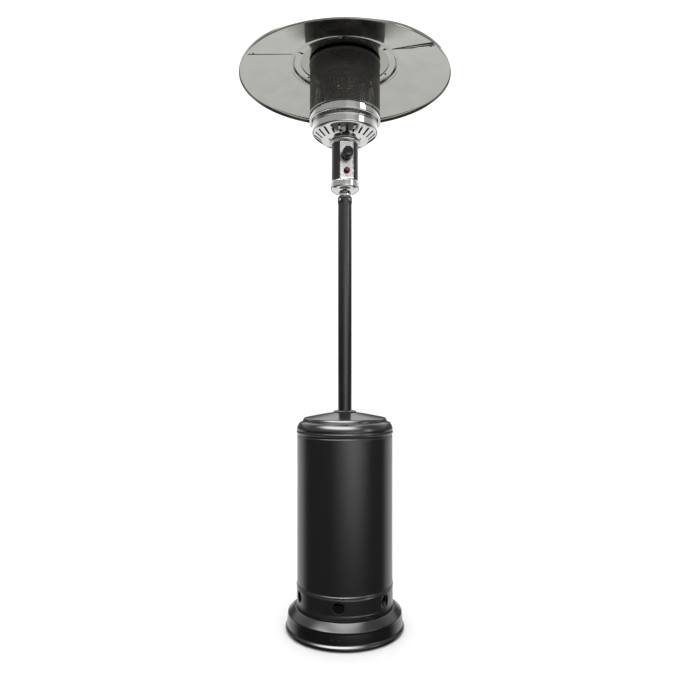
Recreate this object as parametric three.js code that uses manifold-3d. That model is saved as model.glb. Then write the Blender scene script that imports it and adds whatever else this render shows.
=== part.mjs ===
// A gas patio heater: weighted base, gas bottle under a sliding housing, post,
// control head, burner and reflector.
// Millimetres, +Z up, origin on the floor on the post's axis. The control plate faces -Y.

import * as THREE from 'three';
import { mergeVertices } from 'three/addons/utils/BufferGeometryUtils.js';
import Module from 'manifold-3d';

const wasm = await Module();
wasm.setup();

// ---- driving dimensions ----
const gap = 0.3;                  // left between pieces that touch
const wideSteps = 24;             // facets round a wide ring
const midSteps = 16;              // facets round a middling ring
const smallSteps = 8;             // facets round a rod or a screw

const baseRadius = 230.5;          // widest, at the foot bead
const platformHeight = 92;        // top of the base, where the bottle stands
const ventRadius = 187;           // ring with the air holes
const ventTop = 172;
const ventHoleRadius = 21;
const ventHoleHeight = 142;
const ventHolePhase = 14;         // degrees, first hole

const housingRadius = 185.2;      // sliding cylinder over the bottle
const housingBottom = 172.6;
const housingTop = 760;
const lidRimRadius = 187.5;
const lidTop = 839;
const collarTop = 843;

const legRadius = 171;            // middle of a leg's strap
const legCount = 3;
const legPhase = 90;
const bracketHeight = 741;        // underside of the post bracket

const bottleRadius = 150;
const bottleShoulder = 590;
const bottleTop = 650;

const postRadius = 26.5;
const postWall = 1.6;
const postBottom = bracketHeight + 4 + gap;
const postTop = 1672;
const postBoltHeight = 1657;
const postBoltPhase = 36;

const headRadius = 51.3;          // control housing
const headBottom = 1729;
const headTop = 1873;
const capRadius = 54;             // rounded cap below it
const capBottom = 1686;
const plateWidth = 52;
const plateBottom = 1733;
const plateTop = 1872;
const plateFace = -47;            // y of the control plate's front
const plateThickness = 1.5;
const knobHeight = 1822;
const knobRadius = 21.5;
const igniterHeight = 1762;

const bowlRadius = 127;           // slotted bowl under the burner
const bandRadius = 138.6;         // upper band round the bowl and the screen
const bandBottom = 1962;
const bandTop = 1993;
const bandScrewHeight = 1984;
const bandScrewPhase = 39;
const slotCount = 24;
const slotPhase = 10.5;
const cupSlotCount = 18;          // flame slots in the burner cup

const screenRadius = 136.3;
const screenBottom = 1964;
const screenTop = 2184;
const reflectorHubHeight = 2194;
const reflectorRadius = 406.5;
const panelCount = 3;
const seamPhase = -44;            // degrees, first seam between two panels
const sheet = 1.5;                // general sheet thickness

// ---- helpers ----
const group = new THREE.Group();

function finish(name, geometry, material) {
  const mesh = new THREE.Mesh(geometry, material);
  mesh.name = name;
  group.add(mesh);
  return mesh;
}

function polar(radius, degrees, height = 0) {
  const angle = THREE.MathUtils.degToRad(degrees);
  return new THREE.Vector3(radius * Math.cos(angle), radius * Math.sin(angle), height);
}

// Turns a closed outline of [radius, height] points round the Z axis. Points run in either direction.
function turned(outline, steps = wideSteps) {
  const points = outline.map(([radius, height]) => new THREE.Vector2(radius, height));
  if (THREE.ShapeUtils.isClockWise(points)) {
    points.reverse();
  }
  const onAxis = points.findIndex((point, i) => point.x === 0 && points[(i + 1) % points.length].x !== 0);
  const start = Math.max(onAxis, 0);
  const ordered = points.slice(start).concat(points.slice(0, start));
  if (onAxis < 0) {
    ordered.push(ordered[0].clone());
  }
  return new THREE.LatheGeometry(ordered, steps).rotateX(Math.PI / 2);
}

// A sheet of the given thickness, turned from the points of its outer face.
function turnedSheet(outer, thickness = sheet, steps = wideSteps) {
  const face = outer.map(([radius, height]) => new THREE.Vector2(radius, height));
  const back = face.map((point, i) => {
    const before = face[Math.max(i - 1, 0)];
    const after = face[Math.min(i + 1, face.length - 1)];
    const along = after.clone().sub(before).normalize();
    return new THREE.Vector2(point.x - along.y * thickness, point.y + along.x * thickness);
  });
  const outline = face.concat(back.reverse());
  return turned(outline.map((point) => [Math.max(point.x, 0), point.y]), steps);
}

function tube(outerRadius, innerRadius, bottom, top, steps = midSteps) {
  const outline = [[outerRadius, bottom], [outerRadius, top], [innerRadius, top], [innerRadius, bottom]];
  return turned(outline, steps);
}

function rod(radius, bottom, top, steps = smallSteps) {
  return turned([[0, bottom], [radius, bottom], [radius, top], [0, top]], steps);
}

// Lays a piece that was made round +Z along -Y instead, so its height becomes its depth to the front.
function facingFront(geometry, height) {
  return geometry.rotateX(Math.PI / 2).translate(0, 0, height);
}

function bent(points, radius, sides = 8, steps = 24) {
  const route = new THREE.CatmullRomCurve3(points, false, 'centripetal');
  const section = new THREE.Shape();
  section.absarc(0, 0, radius, 0, Math.PI * 2);
  const options = { extrudePath: route, steps, curveSegments: sides / 2, bevelEnabled: false };
  return new THREE.ExtrudeGeometry(section, options);
}

function block(width, depth, height, x, y, z) {
  return new THREE.BoxGeometry(width, depth, height).translate(x, y, z);
}

function solid(geometry) {
  const bare = geometry.clone();
  for (const name of ['normal', 'uv']) {
    bare.deleteAttribute(name);
  }
  const merged = mergeVertices(bare, 1e-4);
  const mesh = new wasm.Mesh({
    numProp: 3,
    vertProperties: new Float32Array(merged.attributes.position.array),
    triVerts: new Uint32Array(merged.index.array),
  });
  return new wasm.Manifold(mesh);
}

function surface(manifold) {
  const mesh = manifold.getMesh();
  const geometry = new THREE.BufferGeometry();
  geometry.setAttribute('position', new THREE.BufferAttribute(mesh.vertProperties, 3));
  geometry.setIndex(new THREE.BufferAttribute(mesh.triVerts, 1));
  return geometry;
}

function cut(geometry, ...tools) {
  return surface(tools.reduce((rest, tool) => rest.subtract(solid(tool)), solid(geometry)));
}

function join(...pieces) {
  return surface(pieces.slice(1).reduce((sum, piece) => sum.add(solid(piece)), solid(pieces[0])));
}

// ---- materials ----
function paint(color, roughness, metalness) {
  return new THREE.MeshStandardMaterial({ color, roughness, metalness });
}

const anthracite = () => paint(0x2b2c2e, 0.45, 0.5);
const hammeredGrey = () => paint(0x6f7274, 0.4, 0.7);
const postBlack = () => paint(0x1c1d1e, 0.45, 0.3);
const chrome = () => paint(0xd8d8d6, 0.1, 1);
const mirrorSheet = () => paint(0xc9cac5, 0.15, 1);
const darkSteel = () => paint(0x24231f, 0.5, 0.8);
const zincSteel = () => paint(0x9a9a96, 0.45, 0.9);
const bottlePaint = () => paint(0x5c6f7c, 0.5, 0.2);
const brass = () => paint(0xb08d4a, 0.35, 0.9);
const blackPlastic = () => paint(0x111111, 0.35, 0);
const redPlastic = () => paint(0xb5182a, 0.35, 0);
const greyPlastic = () => paint(0x55585a, 0.5, 0);
const hoseRubber = () => paint(0x1a1a1a, 0.7, 0);

// ---- base ----
function baseShell() {
  const outer = [
    [0, platformHeight], [196, platformHeight], [208, 83], [218, 71], [220.5, 66], [220.5, 60], [223, 40], [223.5, 23],
    [229, 18], [baseRadius, 12], [baseRadius, 5], [229, 1], [227, 0], [219, 0],
  ];
  const inner = [[217, 4], [220.5, 23], [220, 40], [217.5, 60], [215, 70], [195, 88], [0, 88]];
  return turned(outer.concat(inner));
}

function ventRing() {
  const wall = sheet;
  const bottom = platformHeight + gap;
  const outer = [
    [186, bottom], [186, 103], [187.8, 105], [187.8, 109], [ventRadius, 112], [ventRadius, 167], [184, ventTop],
  ];
  const inner = [...outer].reverse().map(([radius, height]) => [radius - wall, height]);
  const holes = [];
  for (let i = 0; i < 6; i += 1) {
    const hole = new THREE.CylinderGeometry(ventHoleRadius, ventHoleRadius, 40, 16).rotateZ(Math.PI / 2);
    hole.translate(ventRadius, 0, ventHoleHeight);
    holes.push(hole.rotateZ(THREE.MathUtils.degToRad(ventHolePhase + i * 60)));
  }
  return cut(turned(outer.concat(inner)), ...holes);
}

function supportLeg() {
  const half = 2;
  const inner = legRadius - half;
  const outer = legRadius + half;
  const foot = platformHeight + gap;
  const top = bracketHeight - gap;
  const shape = new THREE.Shape();
  shape.moveTo(inner - 14, foot);
  shape.lineTo(outer, foot);
  shape.lineTo(outer, top - 36);
  shape.lineTo(outer - 36, top);
  shape.lineTo(56, top);
  shape.lineTo(56, top - 4);
  shape.lineTo(inner - 34, top - 4);
  shape.lineTo(inner, top - 38);
  shape.lineTo(inner, foot + 4);
  shape.lineTo(inner - 14, foot + 4);
  shape.closePath();
  const width = 30;
  const options = { depth: width, bevelEnabled: false };
  return new THREE.ExtrudeGeometry(shape, options).translate(0, 0, -width / 2).rotateX(Math.PI / 2);
}

function postBracket() {
  const outline = [
    [16, bracketHeight], [86, bracketHeight], [86, bracketHeight + 4], [31, bracketHeight + 4],
    [31, 800], [postRadius + gap, 800], [postRadius + gap, bracketHeight + 4], [16, bracketHeight + 4],
  ];
  return turned(outline, midSteps);
}

function hexBolt(bottom, headRise, headSize = 6) {
  return rod(headSize, bottom, bottom + headRise, 6);
}

// ---- gas supply ----
function bottleBody() {
  const outer = [
    [0, 112], [60, 113], [110, 122], [bottleRadius, 150], [bottleRadius, bottleShoulder - 20], [142, bottleShoulder],
    [118, 618], [70, 636], [22, 640], [20, bottleTop], [13, bottleTop],
  ];
  const inner = [[13, 636], [70, 632], [115, 614], [138, 588], [147, 568], [147, 153], [108, 126], [0, 116]];
  return turned(outer.concat(inner), midSteps);
}

function bottleFootRing() {
  const outline = [[118, platformHeight + gap], [121, platformHeight + gap], [121, 124], [118, 122.5]];
  return turned(outline, midSteps);
}

function bottleCollar() {
  const ring = tube(98, 95.5, 628.5, 668);
  const window = block(70, 260, 24, 0, 0, 652);
  const notch = block(260, 124, 40, 150, -24, 664);
  return cut(ring, window, notch);
}

function bottleValve() {
  const body = turned([[0, 640], [12.5, 640], [12.5, bottleTop + gap], [16, bottleTop + gap], [16, 676], [0, 676]]);
  const outlet = rod(10, 0, 34).rotateY(Math.PI / 2).translate(0, 0, 664);
  const bonnet = rod(9, 670, 684);
  return join(body, outlet, bonnet);
}

function handwheel() {
  const rim = [];
  const lobes = 8;
  for (let i = 0; i < lobes * 4; i += 1) {
    const angle = (i / (lobes * 4)) * Math.PI * 2;
    const radius = 27 + 2 * Math.cos(angle * lobes);
    rim.push(new THREE.Vector2(radius * Math.cos(angle), radius * Math.sin(angle)));
  }
  const shape = new THREE.Shape(rim);
  const options = { depth: 12, bevelEnabled: true, bevelSize: 1.5, bevelThickness: 1.5, bevelSegments: 1 };
  return new THREE.ExtrudeGeometry(shape, options).translate(0, 0, 686 + 1.5);
}

function regulatorBody() {
  const dome = turned([[0, 0], [27, 0], [32, 5], [32, 14], [26, 22], [10, 26], [0, 26]], midSteps);
  dome.translate(78, 0, 651);
  const inlet = rod(9, 44, 62).rotateY(Math.PI / 2).translate(0, 0, 664);
  const spout = rod(5.5, 0, 44).rotateX(Math.PI / 2).translate(78, -10, 664);
  return join(dome, inlet, spout);
}

function unionNut() {
  const hex = rod(15, 34.3, 43.7, 6).rotateY(Math.PI / 2).translate(0, 0, 664);
  return hex;
}

function gasHose() {
  const route = [
    new THREE.Vector3(78, -54.6, 664), new THREE.Vector3(78, -72, 664), new THREE.Vector3(62, -86, 672),
    new THREE.Vector3(30, -74, 690), new THREE.Vector3(8, -36, 706), new THREE.Vector3(0, -8, 724),
    new THREE.Vector3(0, 0, 760), new THREE.Vector3(0, 0, 1000), new THREE.Vector3(0, 0, 1400),
    new THREE.Vector3(0, 0, 1700), new THREE.Vector3(0, 0, 1786),
  ];
  return bent(route, 5.5, 8, 36);
}

// ---- sliding housing ----
function housingShell() {
  const wall = sheet;
  const outer = [
    [186, housingBottom], [187.8, housingBottom + 1], [187.8, 177], [186, 181], [housingRadius, 184],
    [housingRadius, 744], [182.5, 746], [182.5, housingTop],
  ];
  const inner = [...outer].reverse().map(([radius, height]) => [radius - wall, height]);
  return turned(outer.concat(inner));
}

function housingLid() {
  const outer = [
    [184.2, 749], [184.6, 753], [lidRimRadius, 757], [lidRimRadius, 763], [185.6, 767], [186, 774],
    [183, 785], [176, 795], [169, 799.5], [164, 801.5], [161.5, 807], [158, 814], [100, 826.5], [29.5, lidTop - 1],
  ];
  const inner = [
    [29.5, lidTop - 3], [100, 824.5], [156.5, 812.5], [160, 806], [162.5, 799.5], [175, 793], [181.5, 784], [184.2, 774],
    [184, 766], [183, 753], [182.7, 749],
  ];
  return turned(outer.concat(inner));
}

function lidCollar() {
  const outline = [
    [28.5, lidTop - 0.5], [44, lidTop - 3], [45.5, lidTop - 1.5], [43, lidTop + 1],
    [36, collarTop], [28.5, collarTop],
  ];
  return turned(outline, midSteps);
}

// ---- post ----
function postTube() {
  const outer = [[postRadius, postBottom], [postRadius, 1646], [28, 1652], [28, postTop - 3], [27, postTop]];
  const bore = postRadius - postWall;
  const inner = [[25.6, postTop], [25.6, 1652], [bore, 1646], [bore, postBottom]];
  const holes = fourAround(postBoltPhase, () => crossRod(3.3, 22, 32, postBoltHeight));
  return cut(turned(outer.concat(inner), midSteps), ...holes);
}

function crossRod(radius, from, to, height, steps = smallSteps) {
  return rod(radius, from, to, steps).rotateY(Math.PI / 2).translate(0, 0, height);
}

function fourAround(phase, make) {
  return [0, 1, 2, 3].map((i) => make().rotateZ(THREE.MathUtils.degToRad(phase + i * 90)));
}

function postBolt() {
  const shank = crossRod(2.9, 22.6, 29, postBoltHeight, 8);
  const head = crossRod(5, 28.4, 31.5, postBoltHeight, 8);
  return join(shank, head);
}

// ---- control head ----
function burnerSpigot() {
  const outline = [
    [24.5, 1640], [24.5, postTop + gap], [23.5, postTop + 2], [23.5, 1698], [20, 1698], [20, 1690], [22, 1668],
    [22, 1640],
  ];
  const holes = fourAround(postBoltPhase, () => crossRod(3.3, 20, 30, postBoltHeight));
  return cut(turned(outline, midSteps), ...holes);
}

function lowerCap() {
  const outer = [
    [24, capBottom], [32, capBottom + 1], [43, capBottom + 6], [50, capBottom + 14], [53.4, capBottom + 25],
    [capRadius, 1716], [capRadius, headBottom - gap],
  ];
  return turnedSheet(outer.reverse(), -sheet, midSteps);
}

function controlHousing() {
  const shell = tube(headRadius, headRadius - sheet, headBottom, headTop, wideSteps);
  const window = block(plateWidth + 0.8, 40, plateTop - plateBottom + 3.2, 0, -52, (plateTop + plateBottom) / 2);
  return cut(shell, window);
}

function controlPlate() {
  const shape = new THREE.Shape();
  const half = plateWidth / 2;
  const round = 2;
  shape.moveTo(-half + round, plateBottom);
  shape.lineTo(half - round, plateBottom);
  shape.absarc(half - round, plateBottom + round, round, -Math.PI / 2, 0);
  shape.lineTo(half, plateTop - round);
  shape.absarc(half - round, plateTop - round, round, 0, Math.PI / 2);
  shape.lineTo(-half + round, plateTop);
  shape.absarc(-half + round, plateTop - round, round, Math.PI / 2, Math.PI);
  shape.lineTo(-half, plateBottom + round);
  shape.absarc(-half + round, plateBottom + round, round, Math.PI, Math.PI * 1.5);
  shape.holes.push(new THREE.Path().absarc(0, knobHeight, 8, 0, Math.PI * 2));
  shape.holes.push(new THREE.Path().absarc(0, igniterHeight, 9, 0, Math.PI * 2));
  const options = { depth: plateThickness, bevelEnabled: false, curveSegments: 6 };
  const front = new THREE.ExtrudeGeometry(shape, options).rotateX(Math.PI / 2);
  return front.translate(0, plateFace + plateThickness, 0);
}

function gasValve() {
  const body = block(30, 34, 46, 0, -22, knobHeight);
  const gland = facingFront(rod(6.5, 38, 43), knobHeight);
  const outlet = rod(7, knobHeight + 20, knobHeight + 36).translate(0, -14, 0);
  const inlet = rod(7.5, knobHeight - 34, knobHeight - 20);
  const seat = block(16, 22, 10, 0, -10, knobHeight - 22);
  return join(body, gland, outlet, inlet, seat);
}

function valveStem() {
  return facingFront(rod(4, 43.4, 66), knobHeight);
}

function controlKnob() {
  const side = knobRadius;
  const back = 52.5;
  const front = 87;
  const skirt = turned([[0, back], [side, back], [side, back + 8], [side - 2, front - 3], [side - 5, front],
    [0, front]], 16);
  const bore = rod(4.4, back - 1, 72);
  return facingFront(cut(skirt, bore), knobHeight);
}

function igniterBezel() {
  const outline = [[9.4, 47.4], [12.2, 47.4], [12.2, 51], [11, 54], [9.4, 54]];
  return facingFront(turned(outline, 16), igniterHeight);
}

function igniterButton() {
  const outline = [[0, 50.5], [7.4, 50.5], [7.4, 60.5], [5.5, 63], [0, 63]];
  return facingFront(turned(outline, 16), igniterHeight);
}

function igniterBody() {
  return facingFront(turned([[0, 8], [8.4, 8], [8.4, 45], [0, 45]], 16), igniterHeight);
}

function tiltSwitch() {
  return block(14, 20, 30, 30, 8, 1776);
}

function injector() {
  const outline = [[0, knobHeight + 36 + gap], [6, knobHeight + 36 + gap], [6, 1868], [4, 1876], [0, 1876]];
  return turned(outline, smallSteps).translate(0, -14, 0);
}

function pilotTube() {
  const route = [
    new THREE.Vector3(24, -18, 1800), new THREE.Vector3(26, -12, 1850), new THREE.Vector3(30, -6, 1900),
    new THREE.Vector3(56, -6, 1960), new THREE.Vector3(86, -6, 1995), new THREE.Vector3(108, -6, 2060),
  ];
  return bent(route, 3, 6, 12);
}

function thermocouple() {
  const route = [
    new THREE.Vector3(-24, -18, 1800), new THREE.Vector3(-26, -12, 1850), new THREE.Vector3(-30, -6, 1900),
    new THREE.Vector3(-56, -6, 1960), new THREE.Vector3(-86, -6, 1995), new THREE.Vector3(-108, -6, 2070),
  ];
  return bent(route, 2.5, 6, 12);
}

// ---- burner head ----
function neckFlange() {
  const outline = [
    [44, headTop + gap], [54, headTop + gap], [58, headTop + 2], [61, headTop + 5], [61, 1883.5], [44, 1883.5],
  ];
  return turned(outline, midSteps);
}

function slottedBowl() {
  const outer = [
    [44, 1884], [66, 1885], [97, 1893], [120, 1911], [124, 1914], [bowlRadius, 1919], [bowlRadius, 1944],
    [130, 1946], [130, 1949], [bowlRadius, 1952], [bowlRadius, 1958],
  ];
  const shell = turnedSheet(outer, sheet);
  const slots = [];
  for (let i = 0; i < slotCount; i += 1) {
    const slot = block(21, 6.5, 40, 108, 0, 1900);
    slots.push(slot.rotateZ(THREE.MathUtils.degToRad(slotPhase + (i * 360) / slotCount)));
  }
  return cut(shell, ...slots);
}

function upperBand() {
  const inner = screenRadius + gap;
  const outline = [
    [129, 1958 + gap], [135, 1958.5], [bandRadius - 0.6, 1960], [bandRadius, bandBottom + 2],
    [bandRadius, bandTop - 1], [bandRadius - 0.6, bandTop], [inner, bandTop], [inner, 1963], [129, 1961.5],
  ];
  return turned(outline);
}

function bandScrew() {
  return crossRod(4, bandRadius + gap, bandRadius + 2.4, bandScrewHeight, 8);
}

function burnerTube() {
  const outline = [
    [18, 1884], [18, 2020], [24, 2040], [24, 2047], [22.4, 2047], [22.4, 2041], [16.4, 2021], [16.4, 1884],
  ];
  const flange = tube(42, 16.4, 1886.5, 1890, midSteps);
  const passages = [-1, 1].map((side) => rod(5, 1880, 1900).translate(side * 29.4, -7.3, 0));
  return cut(join(turned(outline, midSteps), flange), ...passages);
}

function burnerCup() {
  const outer = [[24.6, 2046], [70, 2048], [95, 2112], [95, 2118]];
  const shell = turnedSheet(outer, 1.5, midSteps);
  const slots = [];
  for (let i = 0; i < cupSlotCount; i += 1) {
    const slot = block(60, 6, 44, 84, 0, 2081);
    slots.push(slot.rotateZ(THREE.MathUtils.degToRad((i * 360) / cupSlotCount)));
  }
  return cut(shell, ...slots);
}

function flameSpreader() {
  const outline = [
    [0, 2042], [6, 2042], [6, 2140], [62, 2142], [64, 2145], [40, 2156], [0, 2160],
  ];
  return turned(outline, midSteps);
}

function emitterScreen() {
  return tube(screenRadius, screenRadius - 1.2, screenBottom, screenTop, wideSteps);
}

function screenCap() {
  const outer = [
    [screenRadius + gap, 2177], [screenRadius + 2, 2177.5], [screenRadius + 2.3, screenTop], [screenRadius, 2187.5],
    [0, 2187.5], [0, 2186], [screenRadius - 2, 2186], [screenRadius + gap, screenTop + 1],
  ];
  return turned(outer);
}

// ---- reflector ----
function reflectorHub() {
  return rod(199, reflectorHubHeight, reflectorHubHeight + 1.2, wideSteps);
}

function reflectorPanel(index) {
  const under = [
    [172, 2192.4], [197, 2192.4], [203, 2184], [214, 2182], [300, 2163], [390, 2143], [403, 2139],
    [reflectorRadius, 2134], [reflectorRadius, 2122],
  ];
  const ring = turnedSheet(under, 1.2, wideSteps * 2);
  const reach = 1200;
  const wedge = new THREE.Shape();
  const half = THREE.MathUtils.degToRad(60 - 0.12);
  wedge.moveTo(0, 0);
  wedge.lineTo(reach * Math.cos(half), -reach * Math.sin(half));
  wedge.lineTo(reach * Math.cos(half), reach * Math.sin(half));
  wedge.closePath();
  const slice = new THREE.ExtrudeGeometry(wedge, { depth: 200, bevelEnabled: false }).translate(0, 0, 2080);
  slice.rotateZ(THREE.MathUtils.degToRad(seamPhase + 60 + index * 120));
  return surface(solid(ring).intersect(solid(slice)));
}

function reflectorStud() {
  return rod(4, 2187.5 + gap, reflectorHubHeight - gap, 8);
}

// ---- assembly ----
finish('base_shell', baseShell(), hammeredGrey());
finish('vent_ring', ventRing(), anthracite());
for (let i = 0; i < legCount; i += 1) {
  const turn = THREE.MathUtils.degToRad(legPhase + i * 120);
  finish(`support_leg_${i + 1}`, supportLeg(), zincSteel()).rotation.z = turn;
  const upper = finish(`leg_bolt_${i + 1}`, hexBolt(bracketHeight + 4 + gap, 5), zincSteel());
  upper.position.copy(polar(70, legPhase + i * 120));
}
finish('post_bracket', postBracket(), zincSteel());

finish('bottle_body', bottleBody(), bottlePaint());
finish('bottle_foot_ring', bottleFootRing(), bottlePaint());
finish('bottle_collar', bottleCollar(), bottlePaint());
finish('bottle_valve', bottleValve(), brass());
finish('valve_handwheel', handwheel(), greyPlastic());
finish('regulator', regulatorBody(), zincSteel());
finish('regulator_union_nut', unionNut(), brass());
finish('gas_hose', gasHose(), hoseRubber());

finish('housing_shell', housingShell(), anthracite());
finish('housing_lid', housingLid(), anthracite());
finish('lid_collar', lidCollar(), anthracite());

finish('post_tube', postTube(), postBlack());
for (let i = 0; i < 4; i += 1) {
  const bolt = finish(`post_bolt_${i + 1}`, postBolt(), zincSteel());
  bolt.rotation.z = THREE.MathUtils.degToRad(postBoltPhase + i * 90);
}
finish('burner_spigot', burnerSpigot(), chrome());
finish('lower_cap', lowerCap(), chrome());
finish('control_housing', controlHousing(), chrome());
finish('control_plate', controlPlate(), chrome());
finish('gas_valve', gasValve(), brass());
finish('valve_stem', valveStem(), brass());
finish('control_knob', controlKnob(), blackPlastic());
finish('igniter_bezel', igniterBezel(), blackPlastic());
finish('igniter_button', igniterButton(), redPlastic());
finish('igniter_body', igniterBody(), blackPlastic());
finish('tilt_switch', tiltSwitch(), greyPlastic());
finish('injector', injector(), brass());
finish('pilot_tube', pilotTube(), zincSteel());
finish('thermocouple', thermocouple(), brass());

finish('neck_flange', neckFlange(), chrome());
finish('slotted_bowl', slottedBowl(), chrome());
finish('upper_band', upperBand(), chrome());
for (let i = 0; i < 4; i += 1) {
  const screw = finish(`band_screw_${i + 1}`, bandScrew(), zincSteel());
  screw.rotation.z = THREE.MathUtils.degToRad(bandScrewPhase + i * 90);
}
finish('burner_tube', burnerTube(), zincSteel());
finish('burner_cup', burnerCup(), zincSteel());
finish('flame_spreader', flameSpreader(), zincSteel());
finish('emitter_screen', emitterScreen(), darkSteel());
finish('screen_cap', screenCap(), darkSteel());

finish('reflector_hub', reflectorHub(), mirrorSheet());
for (let i = 0; i < panelCount; i += 1) {
  finish(`reflector_panel_${i + 1}`, reflectorPanel(i), mirrorSheet());
  const stud = finish(`reflector_stud_${i + 1}`, reflectorStud(), zincSteel());
  stud.position.copy(polar(110, seamPhase + 60 + i * 120));
}

export default group;
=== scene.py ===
"""Looks of a gas patio heater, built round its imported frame.

The frame gives the places and outer sizes. Each sub-assembly is a class that reads the places of its nodes,
models finer pieces with Blender's own tools and dresses them. Lengths are in millimetres unless a text says
otherwise.
"""

from __future__ import annotations

import logging
import math
from contextlib import contextmanager
from dataclasses import dataclass
from enum import Enum
from typing import Callable, Iterator, Sequence

import bpy
from mathutils import Matrix, Vector

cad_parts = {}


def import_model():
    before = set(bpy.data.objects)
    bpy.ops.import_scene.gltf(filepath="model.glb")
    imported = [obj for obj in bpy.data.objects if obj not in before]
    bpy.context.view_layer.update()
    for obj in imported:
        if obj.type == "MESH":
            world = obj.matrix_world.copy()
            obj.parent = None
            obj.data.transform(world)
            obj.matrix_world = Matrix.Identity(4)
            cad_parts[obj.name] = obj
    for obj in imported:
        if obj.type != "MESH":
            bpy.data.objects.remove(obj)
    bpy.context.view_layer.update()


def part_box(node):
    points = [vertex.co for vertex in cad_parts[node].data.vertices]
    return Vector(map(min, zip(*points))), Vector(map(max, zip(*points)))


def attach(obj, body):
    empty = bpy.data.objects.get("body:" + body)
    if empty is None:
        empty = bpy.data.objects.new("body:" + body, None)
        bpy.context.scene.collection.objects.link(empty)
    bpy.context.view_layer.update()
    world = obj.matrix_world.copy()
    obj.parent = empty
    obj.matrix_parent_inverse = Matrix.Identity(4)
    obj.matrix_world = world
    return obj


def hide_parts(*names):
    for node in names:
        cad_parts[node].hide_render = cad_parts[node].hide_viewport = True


LOG = logging.getLogger("heater")
MM = 0.001

Corner = tuple[float, float, float]
Point = tuple[float, float]


class Body(Enum):
    """The frame's moving bodies."""

    FRAME = "frame"
    HOUSING = "housing"
    HANDWHEEL = "handwheel"
    STEM = "stem"
    KNOB = "knob"
    BUTTON = "button"


class Slot(Enum):
    """The record's material slots."""

    BASE = "base_paint"
    HOUSING = "housing_paint"
    POST = "post_paint"
    CHROME = "chrome"
    PLATE = "plate_steel"
    MIRROR = "mirror_aluminium"
    SCREEN = "screen_steel"
    BURNER = "burner_steel"
    ZINC = "zinc_steel"
    BOTTLE = "bottle_paint"
    BRASS = "brass"
    BLACK = "black_plastic"
    RED = "red_plastic"
    GREY = "grey_plastic"
    HOSE = "hose_rubber"


# ---------------------------------------------------------------- finishes


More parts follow.
